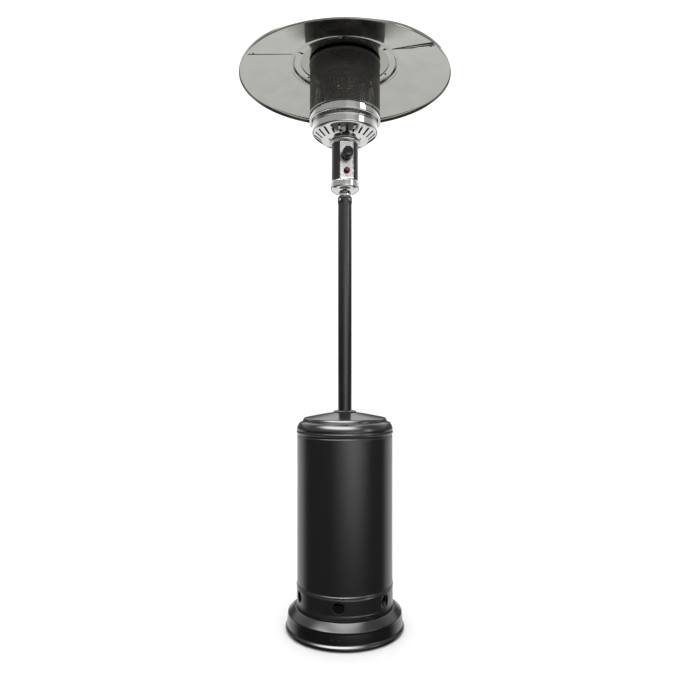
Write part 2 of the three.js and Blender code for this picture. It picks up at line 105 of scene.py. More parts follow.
@dataclass
class NodeTree:
    """The nodes of one material, with short ways to add the usual ones."""

    material: bpy.types.Material

    def add(self, kind: str, **values: object) -> bpy.types.Node:
        """Adds a node and sets its properties.

        Args:
            kind: the node's type name.
            values: properties to set on it.

        Returns:
            The new node.
        """
        node = self.material.node_tree.nodes.new(kind)
        for name, value in values.items():
            setattr(node, name, value)
        return node

    def link(self, source: bpy.types.NodeSocket, target: bpy.types.NodeSocket) -> None:
        """Joins two sockets."""
        self.material.node_tree.links.new(source, target)

    @property
    def shader(self) -> bpy.types.Node:
        """The material's main shader."""
        return self.material.node_tree.nodes["Principled BSDF"]

    def noise(
        self, scale: float, detail: float = 4.0, stretch: Sequence[float] = (1, 1, 1)
    ) -> bpy.types.NodeSocket:
        """Adds a noise pattern that is fixed to the piece.

        Args:
            scale: how many features there are to the metre.
            detail: how many finer layers are added.
            stretch: scale along X, Y and Z.

        Returns:
            The socket with the pattern's value.
        """
        place = self.add("ShaderNodeTexCoord")
        mapping = self.add("ShaderNodeMapping")
        mapping.inputs["Scale"].default_value = tuple(stretch)
        pattern = self.add("ShaderNodeTexNoise")
        pattern.inputs["Scale"].default_value = scale
        pattern.inputs["Detail"].default_value = detail
        self.link(place.outputs["Object"], mapping.inputs["Vector"])
        self.link(mapping.outputs["Vector"], pattern.inputs["Vector"])
        return pattern.outputs["Fac"]

    def math(self, operation: str, first: bpy.types.NodeSocket, second: object) -> bpy.types.NodeSocket:
        """Adds one sum.

        Args:
            operation: what is done.
            first: the first value.
            second: the second value, a socket or a number.

        Returns:
            The socket with the result.
        """
        node = self.add("ShaderNodeMath", operation=operation)
        self.link(first, node.inputs[0])
        if isinstance(second, bpy.types.NodeSocket):
            self.link(second, node.inputs[1])
        else:
            node.inputs[1].default_value = second
        return node.outputs["Value"]

    def within(self, angle: bpy.types.NodeSocket, span: Point, soft: Point) -> bpy.types.NodeSocket:
        """Gives 1 where an angle lies in a span, falling softly to 0 outside it.

        Args:
            angle: the angle, in radians.
            span: the span, in degrees.
            soft: how far the fall reaches to either side of each end, in degrees.

        Returns:
            The socket with the result.
        """
        ends = []
        for edge, fall, sign in ((span[0], soft[0], 1.0), (span[1], soft[1], -1.0)):
            ramp = self.add("ShaderNodeMapRange", interpolation_type="SMOOTHSTEP")
            low, high = sorted((math.radians(edge - fall), math.radians(edge + fall)))
            ramp.inputs["From Min"].default_value = low
            ramp.inputs["From Max"].default_value = high
            ramp.inputs["To Min"].default_value = 0.0 if sign > 0 else 1.0
            ramp.inputs["To Max"].default_value = 1.0 if sign > 0 else 0.0
            self.link(angle, ramp.inputs["Value"])
            ends.append(ramp.outputs["Result"])
        return self.math("MULTIPLY", *ends)

    def spread(self, value: bpy.types.NodeSocket, low: float, high: float) -> bpy.types.NodeSocket:
        """Spreads a noise value over a range.

        Args:
            value: the noise.
            low: result where the noise is weak.
            high: result where it is strong.

        Returns:
            The socket with the result.
        """
        node = self.add("ShaderNodeMapRange")
        node.inputs["From Min"].default_value = 0.3
        node.inputs["From Max"].default_value = 0.7
        node.inputs["To Min"].default_value = low
        node.inputs["To Max"].default_value = high
        self.link(value, node.inputs["Value"])
        return node.outputs["Result"]

    def blend(
        self, value: bpy.types.NodeSocket, low: Sequence[float], high: Sequence[float]
    ) -> bpy.types.NodeSocket:
        """Blends two colours by a noise value.

        Args:
            value: the noise.
            low: colour where it is weak.
            high: colour where it is strong.

        Returns:
            The socket with the colour.
        """
        ramp = self.add("ShaderNodeValToRGB")
        first, last = ramp.color_ramp.elements
        first.position, last.position = 0.32, 0.68
        first.color, last.color = (*low, 1.0), (*high, 1.0)
        self.link(value, ramp.inputs["Fac"])
        return ramp.outputs["Color"]

    def raise_by(self, value: bpy.types.NodeSocket, height: float, strength: float) -> None:
        """Roughens the surface by a pattern.

        Args:
            value: the pattern.
            height: its height, in millimetres.
            strength: how much of it shows.
        """
        bump = self.add("ShaderNodeBump")
        bump.inputs["Distance"].default_value = height * MM
        bump.inputs["Strength"].default_value = strength
        self.link(value, bump.inputs["Height"])
        self.link(bump.outputs["Normal"], self.shader.inputs["Normal"])


@dataclass(frozen=True)
class Finish:
    """A finish: one material, made once and shared by its pieces."""

    name: str
    slot: Slot
    color: tuple[float, float, float]
    metallic: float = 0.0
    roughness: tuple[float, float] = (0.3, 0.4)

    def material(self) -> bpy.types.Material:
        """Gives the material, and makes it on first use.

        Returns:
            The material.
        """
        found = bpy.data.materials.get(self.name)
        if found is not None:
            return found
        made = bpy.data.materials.new(self.name)
        made.use_nodes = True
        tree = NodeTree(made)
        tree.shader.inputs["Metallic"].default_value = self.metallic
        self.dress(tree)
        return made

    def tone(self, factor: float) -> tuple[float, ...]:
        """The finish's colour, made darker or lighter by a factor."""
        return tuple(min(part * factor, 1.0) for part in self.color)

    def dress(self, tree: NodeTree) -> None:
        """Adds the finish's pattern to its nodes.

        Args:
            tree: the material's nodes.
        """
        raise NotImplementedError


@dataclass(frozen=True)
class Paint(Finish):
    """Stoved paint with a fine flake, a slightly uneven gloss and a faint orange peel."""

    peel: float = 0.03
    gloss: float = 0.9

    def dress(self, tree: NodeTree) -> None:
        """Adds flake, uneven gloss and orange peel."""
        shader = tree.shader
        shader.inputs["Specular IOR Level"].default_value = self.gloss
        flake = tree.noise(1400.0, 2.0)
        tree.link(tree.blend(flake, self.tone(0.8), self.tone(1.3)), shader.inputs["Base Color"])
        tree.link(tree.spread(tree.noise(9.0), *self.roughness), shader.inputs["Roughness"])
        tree.raise_by(tree.noise(420.0, 1.0), 0.15, self.peel)


@dataclass(frozen=True)
class Polished(Finish):
    """Polished sheet metal: handling marks in the gloss and the slight ripple that pressing leaves."""

    ripple: float = 0.05
    ripple_scale: float = 22.0

    def dress(self, tree: NodeTree) -> None:
        """Adds smudges and ripple."""
        shader = tree.shader
        smudge = tree.noise(14.0, 8.0)
        tree.link(tree.blend(smudge, self.tone(0.95), self.tone(1.03)), shader.inputs["Base Color"])
        tree.link(tree.spread(tree.noise(30.0, 10.0), *self.roughness), shader.inputs["Roughness"])
        tree.raise_by(tree.noise(self.ripple_scale, 1.0), 1.0, self.ripple)


@dataclass(frozen=True)
class Brushed(Finish):
    """Machined, drawn or plated metal: fine lines along one direction."""

    stretch: tuple[float, float, float] = (1.0, 1.0, 30.0)
    lines: float = 0.12

    def dress(self, tree: NodeTree) -> None:
        """Adds drawn lines and dull spots."""
        shader = tree.shader
        grain = tree.noise(160.0, 6.0, self.stretch)
        tree.link(tree.blend(grain, self.tone(0.82), self.tone(1.12)), shader.inputs["Base Color"])
        tree.link(tree.spread(tree.noise(60.0, 6.0), *self.roughness), shader.inputs["Roughness"])
        tree.raise_by(grain, 0.08, self.lines)


@dataclass(frozen=True)
class Heated(Finish):
    """Steel that fire has tinted: straw and brown patches over the base tone."""

    tint: tuple[float, float, float] = (0.20, 0.12, 0.06)

    def dress(self, tree: NodeTree) -> None:
        """Adds heat patches, scale and dull spots."""
        shader = tree.shader
        patches = tree.noise(16.0, 6.0, (1.0, 1.0, 0.5))
        tree.link(tree.blend(patches, self.color, self.tint), shader.inputs["Base Color"])
        tree.link(tree.spread(tree.noise(120.0, 6.0), *self.roughness), shader.inputs["Roughness"])
        tree.raise_by(tree.noise(500.0, 3.0), 0.1, 0.1)


@dataclass(frozen=True)
class Moulded(Finish):
    """Moulded plastic or rubber: a fine spark texture and slightly uneven gloss."""

    grain: float = 0.1
    gloss: float = 0.5

    def dress(self, tree: NodeTree) -> None:
        """Adds the mould's texture."""
        shader = tree.shader
        shader.inputs["Specular IOR Level"].default_value = self.gloss
        mottle = tree.noise(40.0, 5.0)
        tree.link(tree.blend(mottle, self.tone(0.85), self.tone(1.2)), shader.inputs["Base Color"])
        tree.link(tree.spread(tree.noise(90.0, 5.0), *self.roughness), shader.inputs["Roughness"])
        tree.raise_by(tree.noise(900.0, 2.0), 0.1, self.grain)


ANTHRACITE = Paint("stoved_anthracite", Slot.HOUSING, (0.0060, 0.0060, 0.0058), 0.0, (0.19, 0.23))
# The housing's anthracite paint made darker for the base pressing and its rivets: painted shade.
SHADED_BASE_PAINT = Paint("stoved_anthracite_shaded", Slot.BASE, (0.0022, 0.0022, 0.0021), 0.0, (0.19, 0.23))
POST_PAINT = Paint("stoved_post", Slot.POST, (0.0070, 0.0070, 0.0072), 0.0, (0.20, 0.24), 0.002, 0.8)
# The control housing is polished steel like the other chrome parts. This dark colour stands in for the dark
# reflections on it, a painted reflection; its peel gives a hammered bump.
HEAD_DARK_REFLECTION = Paint("head_dark_reflection", Slot.CHROME, (0.030, 0.030, 0.030), 0.6, (0.2, 0.34), 0.12, 0.5)
CHROME = Polished("polished_steel", Slot.CHROME, (0.74, 0.74, 0.73), 1.0, (0.03, 0.07))
PLATE = Polished("drawn_plate", Slot.PLATE, (0.90, 0.90, 0.88), 1.0, (0.18, 0.26), 0.02, 60.0)
MIRROR = Polished("mirror_sheet", Slot.MIRROR, (0.47, 0.475, 0.435), 1.0, (0.06, 0.1), 0.02, 8.0)
HUB_MIRROR = Polished("hub_sheet", Slot.MIRROR, (0.40, 0.40, 0.37), 1.0, (0.1, 0.16), 0.02, 8.0)
SCREEN = Heated("mesh_steel", Slot.SCREEN, (0.075, 0.073, 0.068), 0.75, (0.30, 0.42), (0.085, 0.078, 0.070))
BURNER = Heated("fired_steel", Slot.BURNER, (0.36, 0.34, 0.32), 1.0, (0.25, 0.4), (0.30, 0.24, 0.17))
# A near-black sheet for the strips under the seams: painted shadow in the gaps between the lapped panels.
SEAM_SHADOW = Polished("seam_shadow", Slot.MIRROR, (0.03, 0.03, 0.028), 0.6, (0.4, 0.5), 0.02, 8.0)
ZINC = Brushed("zinc_plate", Slot.ZINC, (0.56, 0.56, 0.54), 1.0, (0.22, 0.38))
DARK_ZINC = Brushed("black_zinc", Slot.ZINC, (0.03, 0.03, 0.03), 0.8, (0.3, 0.45))
BOTTLE = Paint("bottle_enamel", Slot.BOTTLE, (0.035, 0.05, 0.062), 0.0, (0.35, 0.5), 0.06, 0.5)
BRASS = Brushed("machined_brass", Slot.BRASS, (0.66, 0.47, 0.20), 1.0, (0.2, 0.34))
BLACK = Moulded("knob_plastic", Slot.BLACK, (0.0020, 0.0020, 0.0020), 0.0, (0.22, 0.30), 0.03, 0.35)
RED = Moulded("button_plastic", Slot.RED, (0.16, 0.002, 0.014), 0.0, (0.10, 0.16), 0.02)
GREY = Moulded("handwheel_plastic", Slot.GREY, (0.10, 0.11, 0.12), 0.0, (0.4, 0.55))
HOSE = Moulded("hose_skin", Slot.HOSE, (0.012, 0.012, 0.012), 0.0, (0.5, 0.7), 0.3)


# ---------------------------------------------------------------- bench tools


@dataclass(frozen=True)
class Extent:
    """Where a node of the frame lies: its reach from the post's axis and its heights, in millimetres."""

    reach: float
    bottom: float
    top: float

    @classmethod
    def of(cls, node: str) -> "Extent":
        """Reads a node's place from the frame.

        Args:
            node: the node's name.

        Returns:
            Its extent.
        """
        low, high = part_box(node)
        return cls(high.x / MM, low.z / MM, high.z / MM)


def deselect() -> None:
    """Leaves nothing selected."""
    bpy.ops.object.select_all(action="DESELECT")


def activate(piece: bpy.types.Object) -> None:
    """Selects one piece only, and makes it the active one."""
    deselect()
    piece.select_set(True)
    bpy.context.view_layer.objects.active = piece


@contextmanager
def editing(piece: bpy.types.Object) -> Iterator[None]:
    """Opens a piece in edit mode for the operators inside the block."""
    activate(piece)
    bpy.ops.object.mode_set(mode="EDIT")
    try:
        yield
    finally:
        bpy.ops.object.mode_set(mode="OBJECT")


def named(name: str) -> bpy.types.Object:
    """Names the new primitive and brings its place into its mesh.

    Args:
        name: the piece's name.

    Returns:
        The piece.
    """
    piece = bpy.context.object
    piece.name = piece.data.name = name
    bpy.ops.object.transform_apply(location=True, rotation=True, scale=True)
    return piece


def select_faces(piece: bpy.types.Object, test: Callable[[Vector, Vector], bool]) -> None:
    """Selects the faces whose centre and normal pass a test.

    Args:
        piece: the piece, in object mode.
        test: takes a centre in millimetres and a normal.
    """
    bpy.context.scene.tool_settings.mesh_select_mode = (False, False, True)
    mesh = piece.data
    mesh.vertices.foreach_set("select", [False] * len(mesh.vertices))
    mesh.edges.foreach_set("select", [False] * len(mesh.edges))
    for face in mesh.polygons:
        face.select = test(face.center / MM, face.normal)


def drawn(name: str, points: Sequence[Vector]) -> bpy.types.Object:
    """Draws a line of edges through points.

    Args:
        name: the piece's name.
        points: where it goes, in millimetres.

    Returns:
        A piece with the line's vertices and edges.
    """
    deselect()
    bpy.ops.mesh.primitive_plane_add(size=MM, location=points[0] * MM)
    piece = named(name)
    bpy.context.scene.tool_settings.mesh_select_mode = (True, False, False)
    with editing(piece):
        bpy.ops.mesh.select_all(action="SELECT")
        bpy.ops.mesh.merge(type="CENTER")
        bpy.ops.mesh.select_all(action="SELECT")
        for before, after in zip(points, points[1:]):
            bpy.ops.mesh.extrude_vertices_move(TRANSFORM_OT_translate={"value": (after - before) * MM})
    return piece


def rounded(corners: Sequence[Corner | Point], steps: int = 5) -> list[Point]:
    """Rounds the corners of an outline.

    Args:
        corners: radius, height and, where the corner is rounded, the rounding.
        steps: how many edges each rounding gets.

    Returns:
        The outline's points.
    """
    places = [Vector(corner[:2]) for corner in corners]
    outline = [places[0]]
    for i in range(1, len(places) - 1):
        rounding = corners[i][2] if len(corners[i]) > 2 else 0.0
        before, here, after = places[i - 1], places[i], places[i + 1]
        if rounding <= 0.0:
            outline.append(here)
            continue
        back = min(rounding, (before - here).length * 0.49)
        on = min(rounding, (after - here).length * 0.49)
        start = here + (before - here).normalized() * back
        end = here + (after - here).normalized() * on
        for k in range(steps + 1):
            t = k / steps
            outline.append(start * (1 - t) ** 2 + here * 2 * t * (1 - t) + end * t**2)
    outline.append(places[-1])
    return [(point.x, point.y) for point in outline]


def turned(
    name: str,
    corners: Sequence[Corner | Point],
    steps: int = 128,
    loop: bool = False,
    start: float = 0.0,
    arc: float = 360.0,
) -> bpy.types.Object:
    """Turns an outline round the Z axis.

    Args:
        name: the piece's name.
        corners: the outline, as rounded() takes it.
        steps: how many faces go round.
        loop: whether the outline closes on itself.
        start: where the turn starts, in degrees from +X.
        arc: how far it goes, in degrees.

    Returns:
        The turned piece, with its faces outward.
    """
    outline = rounded(corners)
    if loop:
        outline.append(outline[0])
    piece = drawn(name, [Vector((radius, 0.0, height)) for radius, height in outline])
    piece.data.transform(Matrix.Rotation(math.radians(start), 4, "Z"))
    with editing(piece):
        bpy.ops.mesh.select_all(action="SELECT")
        bpy.ops.mesh.spin(steps=steps, angle=math.radians(-arc), center=(0, 0, 0), axis=(0, 0, 1))
        bpy.ops.mesh.select_all(action="SELECT")
        bpy.ops.mesh.remove_doubles(threshold=0.005 * MM)
        bpy.ops.mesh.normals_make_consistent(inside=False)
    return piece


def applied(piece: bpy.types.Object, kind: str, **settings: object) -> None:
    """Adds a modifier and applies it.

    Args:
        piece: the piece.
        kind: the modifier's type.
        settings: its settings.
    """
    modifier = piece.modifiers.new(kind.lower(), kind)
    for name, value in settings.items():
        setattr(modifier, name, value)
    activate(piece)
    bpy.ops.object.modifier_apply(modifier=modifier.name)


def walled(piece: bpy.types.Object, thickness: float, offset: float = -1.0) -> bpy.types.Object:
    """Gives a surface the thickness of its sheet.

    Args:
        piece: an open surface.
        thickness: the sheet's thickness.
        offset: -1 thickens behind the faces and 1 in front of them.

    Returns:
        The piece.
    """
    applied(piece, "SOLIDIFY", thickness=thickness * MM, offset=offset, use_even_offset=True)
    return piece


def eased(piece: bpy.types.Object, width: float, segments: int = 2, angle: float = 40.0) -> bpy.types.Object:
    """Rounds a piece's sharp edges.

    Args:
        piece: the piece.
        width: how wide the rounding is.
        segments: how many faces it gets.
        angle: edges sharper than this are rounded, in degrees.

    Returns:
        The piece.
    """
    limit = math.radians(angle)
    applied(
        piece, "BEVEL", width=width * MM, segments=segments, limit_method="ANGLE", angle_limit=limit,
        use_clamp_overlap=True,
    )
    return piece


def cut_away(piece: bpy.types.Object, *cutters: bpy.types.Object) -> bpy.types.Object:
    """Cuts the cutters' shapes out of a piece, and removes the cutters.

    Args:
        piece: the piece.
        cutters: closed shapes.

    Returns:
        The piece.
    """
    for cutter in cutters:
        applied(piece, "BOOLEAN", operation="DIFFERENCE", object=cutter, solver="EXACT")
        bpy.data.objects.remove(cutter)
    return piece


def together(name: str, pieces: Sequence[bpy.types.Object]) -> bpy.types.Object:
    """Joins pieces into one.

    Args:
        name: its name.
        pieces: what it is made of.

    Returns:
        The joined piece.
    """
    activate(pieces[0])
    for piece in pieces[1:]:
        piece.select_set(True)
    bpy.ops.object.join()
    pieces[0].name = pieces[0].data.name = name
    return pieces[0]


def moved(piece: bpy.types.Object, x: float = 0.0, y: float = 0.0, z: float = 0.0) -> bpy.types.Object:
    """Moves a piece within its mesh."""
    piece.data.transform(Matrix.Translation(Vector((x, y, z)) * MM))
    return piece


def rolled(piece: bpy.types.Object, degrees: float, axis: str = "Z") -> bpy.types.Object:
    """Turns a piece within its mesh about an axis through the origin."""
    piece.data.transform(Matrix.Rotation(math.radians(degrees), 4, axis))
    return piece


def facing_front(piece: bpy.types.Object, height: float) -> bpy.types.Object:
    """Lays a piece made round +Z along -Y at a height, so its own height becomes its depth to the front."""
    return moved(rolled(piece, 90.0, "X"), z=height)


def facing_out(piece: bpy.types.Object, degrees: float, height: float) -> bpy.types.Object:
    """Lays a piece made round +Z so that it points outward at an angle and a height."""
    return moved(rolled(rolled(piece, 90.0, "Y"), degrees), z=height)


def copies(piece: bpy.types.Object, stem: str, count: int) -> list[bpy.types.Object]:
    """Repeats a piece, each copy with a mesh of its own, and numbers them from 1.

    Args:
        piece: the piece, which becomes the first of them.
        stem: what their names start with.
        count: how many there are in all.

    Returns:
        The piece and its copies.
    """
    pieces = [piece]
    for _ in range(count - 1):
        copy = piece.copy()
        copy.data = piece.data.copy()
        bpy.context.scene.collection.objects.link(copy)
        pieces.append(copy)
    for number, each in enumerate(pieces, start=1):
        each.name = each.data.name = f"{stem}_{number}"
    return pieces


def block(name: str, size: Sequence[float], centre: Sequence[float]) -> bpy.types.Object:
    """Makes a box.

    Args:
        name: its name.
        size: its sides.
        centre: its middle.

    Returns:
        The box.
    """
    deselect()
    bpy.ops.mesh.primitive_cube_add(size=1.0, location=Vector(centre) * MM, scale=Vector(size) * MM)
    return named(name)


def bar(name: str, radius: float, length: float, sides: int = 32, bottom: float = 0.0) -> bpy.types.Object:
    """Makes a round or many-sided bar that stands on a height.

    Args:
        name: its name.
        radius: its radius over the corners.
        length: its length along Z.
        sides: how many sides it has.
        bottom: where it starts.

    Returns:
        The bar.
    """
    deselect()
    centre = (0.0, 0.0, (bottom + length / 2) * MM)
    bpy.ops.mesh.primitive_cylinder_add(
        vertices=sides, radius=radius * MM, depth=length * MM, location=centre
    )
    return named(name)


def strap(name: str, line: Sequence[Point], width: float, thickness: float) -> bpy.types.Object:
    """Bends a flat strap along a line in the XZ plane.

    Args:
        name: its name.
        line: the line of its outer face, as rounded points.
        width: its width along Y.
        thickness: its thickness.

    Returns:
        The strap.
    """
    piece = drawn(name, [Vector((x, -width / 2, z)) for x, z in line])
    with editing(piece):
        bpy.ops.mesh.select_all(action="SELECT")
        bpy.ops.mesh.extrude_region_move(TRANSFORM_OT_translate={"value": (0, width * MM, 0)})
    return eased(walled(piece, thickness, 0.0), 0.8)


def route(name: str, points: Sequence[Vector], radius: float, bevel_steps: int = 6) -> bpy.types.Object:
    """Runs a round tube or hose along a smooth line.

    Args:
        name: its name.
        points: where it goes.
        radius: its radius.
        bevel_steps: how finely its section is rounded.

    Returns:
        The tube, as a closed mesh.
    """
    deselect()
    bpy.ops.curve.primitive_nurbs_path_add()
    piece = bpy.context.object
    spline = piece.data.splines[0]
    spline.points.add(len(points) - len(spline.points))
    for place, point in zip(spline.points, points):
        place.co = (*(point * MM), 1.0)
    spline.order_u = 4
    spline.use_endpoint_u = True
    piece.data.bevel_depth = radius * MM
    piece.data.bevel_resolution = bevel_steps
    piece.data.resolution_u = 8
    piece.data.use_fill_caps = True
    activate(piece)
    bpy.ops.object.convert(target="MESH")
    return named(name)


def place(
    piece: bpy.types.Object, finish: Finish, body: Body, *nodes: str, angle: float = 35.0
) -> bpy.types.Object:
    """Dresses a finished piece and lets it ride on its body.

    Args:
        piece: the piece.
        finish: its finish.
        body: the body it moves with.
        nodes: the frame's nodes that it stands for.
        angle: edges sharper than this stay crisp, in degrees.

    Returns:
        The piece.
    """
    if not piece.data.polygons:
        raise ValueError(f"{piece.name} has no faces")
    activate(piece)
    bpy.ops.object.shade_smooth_by_angle(angle=math.radians(angle))
    piece.data.materials.clear()
    piece.data.materials.append(finish.material())
    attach(piece, body.value)
    if nodes:
        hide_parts(*nodes)
    LOG.info("%s rides on %s in %s", piece.name, body.value, finish.name)
    return piece


@dataclass
class Screw:
    """A pan-head screw with a cross recess, made round +Z with its seat at height 0."""

    radius: float
    rise: float
    shank: float = 4.0

    def build(self, name: str) -> bpy.types.Object:
        """Models the screw.

        Args:
            name: its name.

        Returns:
            The screw.
        """
        neck = self.radius * 0.45
        outline = [
            (0.0, -self.shank), (neck, -self.shank), (neck, 0.0), (self.radius, 0.0),
            (self.radius, self.rise * 0.45, self.rise * 0.3), (self.radius * 0.6, self.rise, self.rise * 0.3),
            (0.0, self.rise),
        ]
        head = turned(name, outline, steps=16)
        slot = self.radius * 0.24
        reach = self.radius * 1.1
        cutters = [
            block("recess", (reach, slot, self.rise * 1.2), (0, 0, self.rise)),
            block("recess", (slot, reach, self.rise * 1.2), (0, 0, self.rise)),
        ]
        return cut_away(head, *cutters)


# ---------------------------------------------------------------- sub-assemblies


@dataclass
class Base:
    """The pressed base, the ring with its air holes, and the legs that carry the post."""

    sheet: float = 1.5
    hole_radius: float = 21.0
    hole_count: int = 6
    hole_phase: float = 14.0
    leg_phase: float = 90.0
    leg_width: float = 30.0
    rivet_angles: tuple[float, ...] = (-111.0, -104.5)
    ring_seam: float = -73.5
    leg_bolt_radius: float = 70.0

    def build(self) -> None:
        """Models every piece of the base."""
        self.pressing()
        self.rivets()
        self.vent_ring()
        self.legs()
        self.bracket()

    def pressing(self) -> None:
        """Models the base: a flat platform, a flange and a skirt that ends in a rolled bead."""
        at = Extent.of("base_shell")
        wide, top = at.reach, at.top
        outline = [
            (0.0, top), (wide - 36, top, 2), (wide - 10.4, top - 23.5, 1.0), (wide - 9.6, top - 26.5, 1.0),
            (wide - 9.8, top - 32, 1.5), (wide - 7.5, 40), (wide - 7, 23, 2), (wide - 4, 19, 3),
            (wide, 14, 4), (wide, 4, 5), (wide - 6, 0, 3), (wide - 11, 0, 2), (wide - 12.5, 5),
        ]
        piece = walled(turned("base_pressing", outline, steps=180), self.sheet)
        # The base takes the darkened anthracite: painted shade on its flange and skirt.
        place(piece, SHADED_BASE_PAINT, Body.FRAME, "base_shell", angle=50.0)

    def rivets(self) -> None:
        """Models the two small rivets in the front of the skirt."""
        at = Extent.of("base_shell")
        height = at.top * 0.45
        head = [(0, -2), (2.6, -2), (2.6, 0.6, 0.6), (1.2, 1.1, 0.5), (0, 1.1)]
        rivets = copies(turned("rivet", head, steps=16), "skirt_rivet", len(self.rivet_angles))
        for rivet, angle in zip(rivets, self.rivet_angles):
            moved(rivet, z=at.reach - 7.8)
            place(facing_out(rivet, angle, height), SHADED_BASE_PAINT, Body.FRAME)

    def vent_ring(self) -> None:
        """Models the ring between two beads, with a round air hole every sixth of a turn."""
        at = Extent.of("vent_ring")
        out = at.reach
        wall = out - 0.9
        low, high = at.bottom, at.top
        outline = [
            (wall - 2.4, low), (wall - 2.4, low + 9, 2), (out, low + 12.5, 1.8), (out, low + 16, 1.8),
            (wall - 0.6, low + 19.5, 2), (wall - 0.6, high - 6, 2), (wall - 3, high),
        ]
        ring = walled(turned("air_ring", outline, steps=180), self.sheet)
        hole_height = (low + high) / 2 + 9.9
        drill = moved(bar("drill", self.hole_radius, 30.0, sides=48), z=wall - 15)
        holes = copies(drill, "hole", self.hole_count)
        for i, hole in enumerate(holes):
            facing_out(hole, self.hole_phase + i * 360 / self.hole_count, hole_height)
        place(eased(cut_away(ring, *holes), 0.4, angle=60.0), ANTHRACITE, Body.FRAME, "vent_ring")
        seam = block("air_ring_seam", (1.0, 9.0, 10.0), (wall - 0.3, 0, low + 6))
        place(rolled(eased(seam, 0.4), self.ring_seam), ANTHRACITE, Body.FRAME)

    def legs(self) -> None:
        """Models the three straps between the base and the post's bracket, each with its bolts."""
        at = Extent.of("support_leg_1")
        reach = max(abs(corner.y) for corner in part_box("support_leg_1")) / MM - 2
        low, high = at.bottom + 2, at.top - 2
        line = [
            (reach - 16, low), (reach, low, 5), (reach, high - 36, 8), (reach - 36, high, 8), (56, high),
        ]
        bolt = Extent.of("leg_bolt_1")
        leg = strap("leg", rounded(line), self.leg_width, 4.0)
        head = eased(bar("bolt", 6.0, bolt.top - bolt.bottom, sides=6, bottom=bolt.bottom), 0.5)
        foot = eased(bar("foot", 5.0, 4.5, sides=6, bottom=at.bottom + 4.3), 0.5)
        legs = copies(leg, "leg_strap", 3)
        heads = copies(moved(head, x=self.leg_bolt_radius), "leg_bolt_head", 3)
        feet = copies(moved(foot, x=reach - 9), "leg_foot_bolt", 3)
        for i in range(3):
            turn = self.leg_phase + i * 120
            place(rolled(legs[i], turn), ZINC, Body.FRAME, f"support_leg_{i + 1}")
            place(rolled(heads[i], turn), ZINC, Body.FRAME, f"leg_bolt_{i + 1}")
            place(rolled(feet[i], turn), ZINC, Body.FRAME)

    def bracket(self) -> None:
        """Models the round plate on the legs, with the socket that the post stands in."""
        at = Extent.of("post_bracket")
        low, out = at.bottom, at.reach
        outline = [
            (16, low), (out, low, 1), (out, low + 4, 1), (31, low + 4, 3), (31, at.top, 1), (26.8, at.top),
            (26.8, low + 4), (16, low + 4),
        ]
        place(turned("bracket_socket", outline, steps=96, loop=True), ZINC, Body.FRAME, "post_bracket")


